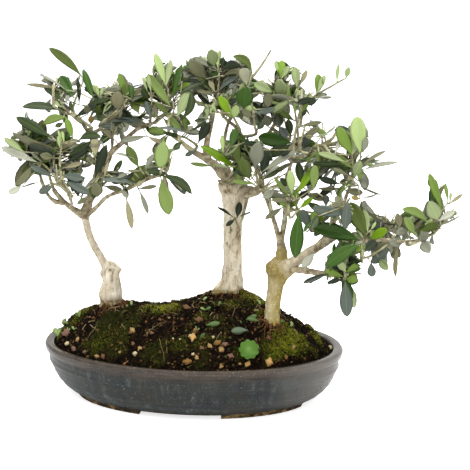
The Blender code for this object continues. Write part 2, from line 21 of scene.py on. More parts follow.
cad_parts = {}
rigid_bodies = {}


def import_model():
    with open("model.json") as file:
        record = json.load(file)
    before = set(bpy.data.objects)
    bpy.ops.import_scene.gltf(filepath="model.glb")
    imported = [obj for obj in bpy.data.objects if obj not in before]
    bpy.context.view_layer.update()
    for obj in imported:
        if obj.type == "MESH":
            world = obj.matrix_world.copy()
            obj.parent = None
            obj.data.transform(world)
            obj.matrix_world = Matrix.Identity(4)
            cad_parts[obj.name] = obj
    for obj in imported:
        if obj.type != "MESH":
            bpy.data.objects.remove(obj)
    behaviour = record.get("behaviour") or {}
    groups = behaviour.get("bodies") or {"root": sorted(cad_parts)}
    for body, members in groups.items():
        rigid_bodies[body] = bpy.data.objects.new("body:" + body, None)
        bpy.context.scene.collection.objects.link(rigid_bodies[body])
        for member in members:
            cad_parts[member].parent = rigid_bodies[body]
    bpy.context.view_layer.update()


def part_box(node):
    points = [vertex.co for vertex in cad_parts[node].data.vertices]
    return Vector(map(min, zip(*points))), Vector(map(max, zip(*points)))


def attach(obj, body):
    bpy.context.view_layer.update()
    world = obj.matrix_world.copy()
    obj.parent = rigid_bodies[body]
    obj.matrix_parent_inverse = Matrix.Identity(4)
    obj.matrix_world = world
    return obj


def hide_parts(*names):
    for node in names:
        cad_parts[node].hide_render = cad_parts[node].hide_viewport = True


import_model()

pot_low, pot_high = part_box("pot")

MM = 0.001
UP = Vector((0, 0, 1))
ORIGIN = Vector(((pot_low.x + pot_high.x) / 2, (pot_low.y + pot_high.y) / 2, pot_low.z))
TO_FRAME = Matrix.Translation(ORIGIN) @ Matrix.Diagonal((MM, MM, MM, 1))

# The camera's place round the pot, matched to the photo. Its distance and target are in millimetres.
IMAGE_SIDE = 470
CAMERA_TURN = 9.0
CAMERA_RISE = 13.5
CAMERA_AWAY = 1400
CAMERA_TARGET = Vector((42.6, 0, 164.5))
FOCUS_PIXELS = 1437
IMAGE_MIDDLE = IMAGE_SIDE / 2
SENSOR = 36
VIEW_END = 50

# The studio's light: how much comes from the left and the right, how much the paper gives, and the lamps,
# each with its place and size in metres and its energy in watts.
AMBIENT = (0.7, 1.14)
PAPER_GLOW = 0.7
LAMP_TARGET = (0, 0, 0.15)
LAMPS = [("strip lamp", (0.3, -0.6, 1.7), (2.8, 0.3), 40), ("back lamp", (-0.3, 0.9, 1.5), (1.4, 1.0), 22)]
FLOOR_REACH = 15

# The pot's oval. A wall point is its height and its share of the rim's ellipse.
POT_LENGTH = 300
POT_WIDTH = 186
POT_WALL = [(0, 0.785), (4, 0.80), (10, 0.865), (20, 0.925), (32, 0.96), (35, 0.972), (44, 0.974),
            (46, 0.992), (51, 1.0), (54, 0.985)]
POT_INSIDE = [(53, 0.94), (46, 0.925), (24, 0.86), (11, 0.73)]
UNDERSIDE = [(4.4, 0.645), (0, 0.65)]
NOTCH_HEIGHT = 4.0
FRONT_NOTCH = 80
END_NOTCH = 46
POT_SIDES = 160
WALL_STEPS = 6
INSIDE_STEPS = 5
POT_CREASE = 50

# How the pot is thrown out of true. A wave is its size and its height in millimetres. The throwing lines
# stop below the rim, which dips and rises a little.
POT_SWELL = (55, 0.35)
LINE_TURN = 1.1
LINE_DRIFT = (80, 2)
LINE_DEPTH = 0.3
LINES_BELOW_TOP = 10
RIM_WAVE = (60, 0.5)
RIM_BELOW_TOP = 12

# Where the glaze changes, as spans of height in the frame: the rim that it ran off, the lip, the smooth
# rim and its gleam, and the bare foot. The right end, painted paler as a reflection of the bright
# surroundings, is a span along the pot.
GLAZE_RUN = 9
RIM_GLAZE = (45 * MM, 50 * MM)
LIP_GLAZE = (55 * MM, 58 * MM)
SLEEK_RIM = (47 * MM, 51 * MM)
RIM_COAT = (49 * MM, 51 * MM)
BARE_FOOT = (10.5 * MM, 7.5 * MM)
PAINTED_REFLECTION_END = (ORIGIN.x + 85 * MM, ORIGIN.x + 148 * MM)

# The colour Mix node's sockets by number, because two of its sockets share each name.
MIX_SHARE = 0
MIX_BELOW = 6
MIX_ABOVE = 7
MIX_COLOUR = 2

# The soil. A hump is its place, height and breadth.
SOIL_SIDE = [(11.3, 0.724), (24, 0.854), (46, 0.919), (49, 0.925)]
SOIL_SIDES = 260
SOIL_RINGS = 110
MOUND_HEIGHT = 47
MOUND_POWER = 3
MOUND_HUMPS = [((34, 22), 10, 22), ((-32, 25), -12, 25), ((-108, 0), 3, 18), ((-83, 4), 2, 20),
               ((79, -29), 9, 17), ((-126, 4), 7, 14)]

# A grain of relief: its size and height in millimetres, and how its octaves weaken, step and number.
Grain = namedtuple("Grain", "size height weakening step octaves")
CLODS = Grain(11, 3.2, 0.8, 2.2, 4)
CLOD_GRIT = (2.6, 1.2)
CLODS_IN_MOSS = 0.75
MOSS_RISE = 1.4
SOIL_LAYERS = ("moss", "fresh")

# Moss away from the patches: how little of it there is, its broken edge and its speckle, how sharply it
# starts, and the places behind which it spreads and freshens towards the back.
MOSS_BASE = -0.26
MOSS_EDGE = Grain(15, 0.55, 0.9, 2.1, 3)
MOSS_SPECKLE = (3.5, 0.3)
MOSS_SHARPNESS = 2.2
MOSS_BEHIND = (10, 90)
FRESH_BEHIND = (20, 160)

# Patches of moss that the photo shows: the pixel, the breadth in millimetres, how well the moss has taken
# hold and how fresh it is.
MOSS_PATCHES = [
    (161, 309, 11, 1.3, 0.9), (172, 308, 8, 1.2, 0.8), (146, 309, 7, 0.9, 0.4), (250, 297, 11, 1.4, 1),
    (259, 303, 9, 1.4, 1), (286, 329, 8, 1.3, 0.6), (283, 343, 15, 1, 0.4), (298, 336, 9, 1, 0.8),
    (290, 345, 10, 1, 0.6), (275, 352, 9, 0.8, 0.3), (305, 325, 7, 1, 0.8), (316, 338, 8, 0.9, 0.8),
    (312, 331, 9, 1.1, 0.9), (324, 337, 9, 1.1, 0.8), (88, 310, 11, 1, 0.4), (112, 318, 14, 0.8, 0),
    (107, 327, 12, 0.8, 0), (121, 335, 12, 0.9, 0.1), (98, 344, 12, 0.9, 0.2), (131, 309, 8, 0.8, 0),
    (137, 318, 10, 0.7, 0), (200, 317, 8, 0.8, 0.2), (188, 330, 8, 0.6, 0.1), (222, 325, 12, 0.7, 0.1),
    (232, 306, 10, 0.8, 0.2), (215, 304, 8, 0.7, 0.2), (262, 314, 9, 0.8, 0.2), (205, 341, 8, 0.6, 0.1),
    (160, 352, 12, 0.7, 0), (178, 345, 9, 0.6, 0.1), (60, 335, 9, 1, 0.5), (74, 321, 9, 1, 0.3),
    (235, 352, 9, 0.6, 0.1), (150, 362, 12, 0.6, 0), (265, 350, 10, 0.6, 0), (310, 350, 10, 0.6, 0.2),
    (125, 352, 9, 0.5, 0), (203, 362, 12, 0.5, 0), (85, 345, 8, 0.5, 0.1),
]

# What lies on the soil. A reach is a share of the pot's oval, a size is in millimetres and a pair is a
# range. Weights go with the tones in their order.
EARTHY = {"Specular IOR Level": 0.08}
MOSS_SHOOTS = 26000
MOSS_REACH = 0.905
MOSS_HEIGHT = (1.0, 2.8)
MOSS_GIRTH = (0.28, 0.5)
MOSS_LEAN = 0.7
MOSS_SUNK = 0.4
MOSS_TONES = {"old": "#1c1d0a", "green": "#383b12", "fresh": "#8a8d2d"}
CRUMBS = 5200
CRUMB_REACH = 0.91
CRUMB_SIZE = (0.4, 1.5)
CRUMB_WEIGHTS = (4, 4, 2, 1)
CRUMB_TONES = {"black": "#0c0805", "brown": "#24170e", "straw": "#573f24", "olive": "#3c3c1c"}
LOOSE_GRANULES = 90
LOOSE_REACH = 0.9
LOOSE_SIZE = (1.2, 3.2)
LOOSE_WEIGHTS = (5, 2, 3, 1, 2)
GRANULE_SIDES = (0.52, 0.42, 0.36)
GRANULE_TONES = ("#5f4227", "#8f7244", "#745423", "#b3a67f", "#6f5142", "#b08a50")
FIBRES = 130
FIBRE_REACH = 0.74
FIBRE_LENGTH = (7, 18)
FIBRE_LIFT = (0.8, 3.5)
FIBRE_SAG = 0.12
FIBRE_RADIUS = (0.18, 0.4)
FIBRE_TONES = ("#7d6b46", "#463020", "#9c8c64", "#5a3c23")
STRAW_LIFT = 0.7
STRAW_SAG = 0.04
STRAW_RADII = (0.4, 0.22)
FINE_ROOTS = 44
ROOT_START = (0.7, 0.95)
ROOT_LENGTH = (4, 14)
ROOT_LIFT = (0.2, 1.2)
ROOT_SAG = 0.3
ROOT_RISE = (0.5, 3)
ROOT_RADIUS = (0.35, 0.7)
ROOT_TIP = 0.25
ROOT_TONE = 3

# Clay and pumice granules that show in the photo: the pixel, the size in millimetres and the tone.
GRANULES = [
    (187, 308, 7, 0), (174, 302, 6, 0), (169, 318, 3, 1), (123, 307, 3, 4), (127, 306, 2.4, 3),
    (132, 331, 5.4, 1), (78, 340, 5.4, 1), (67, 333, 9, 4), (67, 344, 5, 3), (74, 349, 6, 4),
    (85, 352, 4, 4), (97, 357, 4.4, 1), (103, 357, 5, 0), (135, 354, 4.4, 3), (140, 349, 4.6, 1),
    (133, 344, 4, 0), (152, 333, 4, 0), (87, 340, 3, 0), (193, 338, 7.4, 5), (190, 336, 3.4, 3),
    (199, 320, 7, 0), (195, 331, 4, 2), (213, 337, 3, 3), (217, 343, 6.4, 2), (209, 347, 5.4, 1),
    (221, 350, 6.4, 1), (225, 344, 5, 4), (202, 348, 4.4, 0), (197, 358, 4.4, 1), (193, 354, 3, 3),
    (231, 356, 5.4, 4), (221, 367, 4, 1), (248, 364, 6, 5), (269, 362, 8, 5), (286, 357, 4.4, 2),
    (293, 347, 4.6, 1), (330, 348, 5, 3), (268, 338, 4.4, 0), (187, 362, 7, 2), (160, 352, 3, 0),
    (120, 352, 3, 1), (112, 345, 3, 0), (240, 364, 3, 1), (256, 340, 3, 0), (160, 320, 3, 0),
]

# Straws that show in the photo: the pixels of the two ends and the tone.
STRAWS = [((82, 330), (95, 320), 2), ((90, 325), (99, 337), 2), ((148, 330), (166, 323), 0),
          ((120, 317), (128, 312), 0), ((166, 342), (167, 353), 0), ((146, 336), (150, 330), 2),
          ((214, 334), (229, 340), 1), ((232, 315), (244, 304), 0), ((213, 319), (218, 313), 2)]

# Weeds that show in the photo: the pixels of a leaf's base and tip, its width in pixels and the tone.
WEEDS = [((259, 321), (247, 318), 5, "weed"), ((246, 320), (257, 315), 5, "weed"),
         ((248, 330), (231, 331), 7.5, "grey weed"), ((206, 325), (220, 323), 6, "weed"),
         ((62, 324), (66, 318), 4, "pale weed"), ((62, 322), (66, 326), 3.4, "pale weed"),
         ((60, 338), (54, 328), 6, "pale weed"), ((57, 336), (62, 329), 5, "pale weed"),
         ((79, 317), (75, 312), 3.5, "pale weed"), ((79, 317), (80, 310), 3, "pale weed"),
         ((70, 324), (63, 322), 2, "pale weed"), ((200, 338), (205, 333), 4, "weed"),
         ((262, 312), (254, 310), 3, "pale weed")]
ROUND_WEED = ((249, 349), 9.2)
# The round weed's lighter tone is painted light, laid on one side of its leaf past a split.
WEED_TONES = {"weed": "#48602c", "grey weed": "#505f47", "pale weed": "#7f9350", "round weed": "#4c7420",
              "round weed light": "#77a04a"}
LOOSE_WEEDS = 16
WEED_REACH = 0.84
WEED_LENGTH = (4, 8)
WEED_STANDS = 0.55
ROUND_THICK = 0.35
SCALLOPS = 9
SCALLOP_STEPS = 8
SCALLOP_DEPTH = 0.16
SCALLOP_RISE = 0.9
ROUND_DISH = 1.6
# Where the round leaf's painted light starts, as a share of its radius across it.
ROUND_PAINTED_LIGHT_FROM = 0.2

# Trunks and limbs, as in the part.
Trunk = namedtuple("Trunk", "name foot reach bow girth roots")
TRUNKS = [
    Trunk("trunk_left", (-83, 4, 86), (-1, 0, 43), (0, 0, 0), (12.4, 10.4, 10.8, 10.4, 9.4, 9.0, 6.4), 0.12),
    Trunk("trunk_middle", (36.8, 22, 98), (1.2, 0, 123), (-0.4, 0, 0),
          (15.0, 11.8, 10.0, 9.2, 9.0, 9.0, 9.1, 9.2, 9.8, 11.5, 11.0, 7.0), 0.2),
    Trunk("trunk_right", (82, -28, 80), (10.5, 0, 68), (-2, 0, 0),
          (9.6, 7.8, 7.2, 7.2, 7.4, 7.9, 9.8, 12.6, 9.6), 0.12),
]
ROOT_LOBES = 5
Limb = namedtuple("Limb", "name parent leaves reach bow radii")
STEM = Limb("stem_left", "trunk_left", 0.82, (-25, -2, 60), (-4, 1, -3), (3.8, 3.8))
BOUGHS = [Limb(*row) for row in (
    ("left_crown", "stem_left", 0.96, (68, 20, 91), (-7, 0, 17), (3.8, 1.6)),
    ("left_low", "stem_left", 0.97, (-26, -16, 28), (1, 0, -6), (3.5, 2.2)),
    ("left_right", "stem_left", 0.92, (82, -36, 52), (-9, 2, 1), (2.4, 1.4)),
    ("left_outer", "left_low", 0.7, (-24, 1, 27), (-1, -5, -8), (2.0, 1.5)),
    ("left_top", "left_crown", 0.23, (-23, -25, 72), (9, 6, 13), (2.5, 1.4)),
    ("left_top_right", "left_top", 0.5, (32, 22, 28), (1, -3, -2), (1.9, 1.3)),
    ("left_back", "left_crown", 0.29, (5, 36, 37), (4, 2, -9), (1.8, 1.2)),
    ("left_centre", "left_top", 0.23, (13, -35, -5), (-1, -4, 3), (1.6, 1.2)),
    ("left_under", "left_low", 0.53, (8, -36, 23), (2, 0, -2), (1.6, 1.2)),
    ("middle_left", "trunk_middle", 0.93, (-53, -20, 45), (-7, 0, 7), (4.4, 1.7)),
    ("middle_up", "middle_left", 0.37, (4, 15, 44), (-1, 0, -1), (3.3, 2.5)),
    ("middle_front", "trunk_middle", 0.95, (1, -36, 63), (15, -2, 4), (2.6, 1.6)),
    ("middle_back", "trunk_middle", 0.96, (39, 38, 59), (5, 7, 1), (2.6, 1.5)),
    ("middle_right", "trunk_middle", 0.86, (26, -30, 30), (16, -3, -7), (5.0, 1.4)),
    ("middle_rear", "trunk_middle", 0.94, (-13, 58, 52), (-9, 7, -3), (2.4, 1.5)),
    ("right_tall", "trunk_right", 0.98, (10, 42, 131), (-4, -1, -2), (3.0, 1.1)),
    ("right_inner", "right_tall", 0.12, (-17, 2, 49), (1, -3, 2), (2.7, 1.6)),
    ("right_centre", "right_tall", 0.36, (6, -32, 18), (1, -4, 2), (1.8, 1.3)),
    ("right_tall_side", "right_tall", 0.74, (23, -28, 15), (3, -2, -2), (1.5, 1.1)),
    ("right_rear", "right_tall", 0.43, (24, 61, 33), (6, 0, 0), (2.2, 1.4)),
    ("right_side", "trunk_right", 0.82, (57, -32, 46), (1, -2, 2), (5.8, 3.3)),
    ("right_rise", "right_side", 0.68, (28, 26, 59), (3, -1, 0), (2.3, 1.4)),
    ("right_mid", "right_rise", 0.43, (1, -31, 20), (2, -1, 0), (1.6, 1.2)),
    ("right_far", "right_side", 1.0, (74, 16, -5), (0, -4, -2), (2.1, 1.3)),
    ("right_elbow", "right_far", 0.46, (8, 41, -2), (-1, 2, 1), (1.4, 1.1)),
    ("right_low", "trunk_right", 0.9, (60, -46, 6.5), (4, -3, 0.5), (3.6, 2.2)),
)]
CROOK_SHARE = 0.022
CROOK_WAVE = 30

# How the bark stands out. The grain of a trunk is drawn out along it.
WOOD_LAYERS = ("relief", "algae", "peeled", "slender")
TRUNK_SIDES = 96
TRUNK_STEP = 0.9
TRUNK_HEAD = 0.9
TRUNK_TOP = (0.9, 0.72, 0.5, 0.25)
TRUNK_TOP_STEP = 0.8
FOOT_SUNK = 3.0
FOOT_FLARE = 1.06
TRUNK_SEED = 7.3
TRUNK_DRAWN = 0.4
TRUNK_SWELL = Grain(13, 1.1, 0.8, 2.0, 2)
TRUNK_FURROW = Grain(3.6, 0.55, 0.7, 2.1, 4)
TRUNK_GRIT = (0.9, 0.14)
LIMB_SIDES = 14
LIMB_STEP = 1.4
LIMB_SLIM = 0.98
LIMB_OLD = 7.0
LIMB_YOUNG = 4.0
LIMB_SEED = 3.1
LIMB_FURROW = Grain(4.2, 0.16, 0.8, 2.1, 3)
STEM_YOUNG = 0.3
COLLARS = {"right_tall": 1.0}
COLLAR = 0.6
COLLAR_REACH = 1.4

# A trunk's knobs: the share of its height, the way it faces in degrees from the right, its breadth
# and how far it stands out.
KNOBS = {
    "trunk_left": [(0.9, -5, 3.4, 4.2), (0.8, 200, 5, 1.6), (0.6, 180, 6, -1.2), (0.25, 190, 6, 2.4),
                   (0.32, -60, 4, 1.2), (0.62, -70, 4, 1.0), (0.9, -75, 2.2, -1.6), (0.5, -20, 4, -0.8)],
    "trunk_middle": [(0.93, 185, 8, 4.0), (0.87, 200, 6, 2.0), (0.8, -30, 6, 1.8), (0.9, -80, 5, 1.8),
                     (0.74, 180, 5, 1.4), (0.03, 195, 10, 7.5), (0.04, -10, 8, -3.6), (0.2, 190, 5, 1.4),
                     (0.93, 30, 5, 1.5)],
    "trunk_right": [(0.92, 185, 4.0, 1.4), (0.84, 200, 3, 2.0), (0.9, -110, 4, 1.4), (0.95, -30, 4, 1.0),
                    (0.86, -60, 3.5, 1.3), (0.86, 10, 5, 2.0), (0.3, -100, 4, 0.8), (0.12, 200, 3, 1.2)],
}

# Green algae on each trunk, more of it on the side that faces right.
ALGAE = {"trunk_left": 0.0, "trunk_middle": 0.1, "trunk_right": 1.1}
ALGAE_AT_FOOT = 0.6
ALGAE_SIDES = (0.65, 0.35)

# Bare brown wood where the bark has peeled: the share of the height, the way it faces, and its breadth
# and height.
PEELED = {
    "trunk_left": [(0.9, -75, 2.2, 1.6), (0.7, -70, 1.6, 3), (0.12, -90, 16, 4), (0.12, 90, 16, 4)],
    "trunk_middle": [(0.52, -42, 3.4, 10), (0.87, -110, 5, 3), (0.95, -100, 6, 4), (0.93, -150, 4, 3),
                     (0.03, -90, 20, 4), (0.03, 150, 20, 4)],
    "trunk_right": [(0.88, -80, 12, 9), (0.88, 180, 10, 8), (0.86, 0, 9, 8), (0.1, -90, 9, 4)],
}
PEELED_STRENGTH = 1.4

# Masses of foliage. Each stands on the tip of the limb that it is named for, but for two that leave the
# middle trunk itself at a share of its height.
Mass = namedtuple("Mass", "name limb leaves reach twigs twig leaf space seed offset", defaults=((0, 0, 0),))
ON_TRUNK = {"middle_head": ("trunk_middle", 0.9), "middle_sprout": ("trunk_middle", 0.55)}
MASSES = [Mass(f"leaves_{name}", *ON_TRUNK.get(name, (name, 1)), *rest) for name, *rest in (
    ("left_outer", (-4, -7, 28), 5, 29, 36, (42, 44, 50), 34, (2, 0, 0)),
    ("left_under", (-12, -12, 10), 4, 26, 35, (44, 40, 36), 9),
    ("left_low", (6, -7, 34), 5, 29, 36, (44, 38, 44), 31, (0, 0, 2)),
    ("left_crown", (6, 2, 33), 5, 31, 37, (46, 41, 48), 2, (4, 0, 2)),
    ("left_right", (12, -10, 9), 5, 30, 38, (50, 44, 46), 3, (-4, 0, 0)),
    ("left_top", (-8, -7, 28), 5, 30, 38, (48, 44, 46), 5, (0, 0, 2)),
    ("left_top_right", (-15, 5, 12), 5, 27, 34, (44, 44, 38), 6),
    ("left_back", (6, 19, 12), 4, 30, 36, (48, 48, 44), 7),
    ("left_centre", (6, -14, 1), 5, 26, 36, (42, 38, 42), 8),
    ("middle_left", (-6, -5, 22), 5, 30, 37, (42, 44, 46), 10),
    ("middle_up", (4, 5, 31), 6, 29, 34, (47, 46, 46), 11),
    ("middle_front", (-5, -8, 16), 4, 25, 31, (38, 38, 40), 12),
    ("middle_back", (-4, 6, 28), 5, 30, 34, (52, 48, 48), 33, (-2, 0, 0)),
    ("middle_right", (-4, -7, 10), 5, 28, 35, (44, 42, 46), 14),
    ("middle_rear", (-6, 16, 14), 4, 31, 36, (50, 46, 46), 15),
    ("middle_head", (-9, -36, 12), 3, 19, 34, (34, 42, 34), 16),
    ("middle_sprout", (0, -20, 1), 2, 10, 16, (24, 27, 22), 17),
    ("right_rise", (-3, 2, 18), 5, 31, 36, (48, 44, 46), 23),
    ("right_tall", (2, 5, 28), 5, 31, 31, (48, 48, 46), 18),
    ("right_inner", (-2, -9, 6), 5, 25, 33, (40, 36, 42), 19),
    ("right_centre", (2, -11, 8), 5, 26, 31, (40, 38, 42), 20, (0, 0, 2)),
    ("right_tall_side", (12, -8, 4), 5, 28, 32, (42, 40, 40), 21, (2, 0, 0)),
    ("right_rear", (10, 22, 9), 4, 34, 36, (52, 50, 48), 52),
    ("right_mid", (1, -12, -1), 5, 30, 37, (50, 40, 42), 54, (0, 0, -4)),
    ("right_far", (26, 5, 22), 5, 28, 33, (50, 40, 48), 25, (0, 0, 2)),
    ("right_elbow", (2, 14, 1), 5, 26, 31, (42, 42, 40), 26),
    ("right_low", (2, -9, 6), 5, 27, 36, (44, 42, 46), 27, (0, 0, -2)),
)]
GAP = 0.3
GOLDEN_TURN = 137.5
STEM_MIDDLE = (0.3, 0.2)
TWIG_SPREAD = 66
TWIG_SPREAD_TAPER = (1.15, 0.75)
TWIG_SPREAD_RANGE = (0.7, 1.25)
TWIG_TURN_RANGE = (-25, 25)
TWIG_LENGTH_TAPER = (1.1, 0.8)
TWIG_LENGTH_RANGE = (0.75, 1.15)
TWIG_LIFT = 0.2
STEM_RADII = (1.8, 1.2)
TWIG_RADII = (1.1, 0.6)

# The finer growth that only shows: leaves stand closer on each shoot than in the part, and twiglets
# leave the twigs. Angles are in degrees.
PAIR_GAP = 9.5
PAIR_TURN = 90
FIRST_LEAF = (0.45, 0.3)
LAST_LEAF = 0.98
LEAF_SPREAD_TAPER = (62, 24)
LEAF_SPREAD_RANGE = (-16, 16)
LEAF_TURN_RANGE = (-18, 18)
LEAF_LENGTH_RANGE = (0.72, 1.08)
LEAF_DROOP = 0.45
LEAF_ROLL = 34
TIP_LEAF = 0.5
TWIGLETS = 2
TWIGLET_SHARE = 0.55
TWIGLET_LEAF = 0.7
TWIGLET_RADII = (0.7, 0.45)
LEAF_CLEAR = 2.7
TWIGLET_SPREAD = (38, 62)
TWIGLET_LENGTH = (0.7, 1.1)
TWIGLET_BOW = 1.2
TWIGLET_LAST = 0.7
GROWTH_ROUNDS = 20
AGES = (("old", "new"), (7, 3))
GROWN_WIDTH = (0.28, 0.42)
LEAF_SAMPLES = (0.35, 0.55, 0.75, 0.95)
NEW_TIP = 0.85
TWIG_SIDES = 6

# A leaf's shape: where its stalk ends as a share of its length, the outline's powers, and the half widths
# of its midrib, stalk and tip in millimetres. Its thickness is a share of its length.
PETIOLE = 0.08
OUTLINE_POWERS = (1.22, 0.62)
RIB_HALF = 0.24
STALK_HALF = 0.6
TIP_HALF = 0.1
LEAF_THICK = 0.011
ROWS_TO_ENDS = 0.08
LEAST_CURL = 0.02
EDGE_WAVES = 9

Line = namedtuple("Line", "start reach bow crook waves")
Shoot = namedtuple("Shoot", "points headings radii order parent")
Leaf = namedtuple("Leaf", "root direction normal length shoot share")

# How one leaf is bent: its width as a share of its length, the rise of its sides, its curl and twist in
# radians, the wave of its edge in millimetres, and a bow that carries its middle aside.
Bend = namedtuple("Bend", "width fold curl twist wave bow")

# How sprays are placed. A leaf that shows shorter than a share of its breadth, or thinner than a share of
# its length, is turned in depth. Depths and radii are in millimetres.
Shown = namedtuple("Shown", "tone x y tip_x tip_y breadth bow", defaults=(0,))
DEPTH_WEIGHT = 0.35
FRONT_SHARE = 0.3
SMOOTH_STEPS = 3
SHORTEST_LEAF = 2.3
LONGEST_LEAN = 34
THINNEST_LEAF = 0.22
SPRAY_RADII = (1.9, 0.7)
STALK_RADII = (0.75, 0.45)
BEHIND = 4
SPRING_STEPS = 24
SPRING_FROM = 4
SHOOT_MARKS = 12
MARKS_FROM = 2
SHORTEST_STEP = 2
SHORTEST_STALK = 1.5
SHOWN_FOLD = (0.14, 0.42)
SHOWN_CURL = (0.05, 0.35)

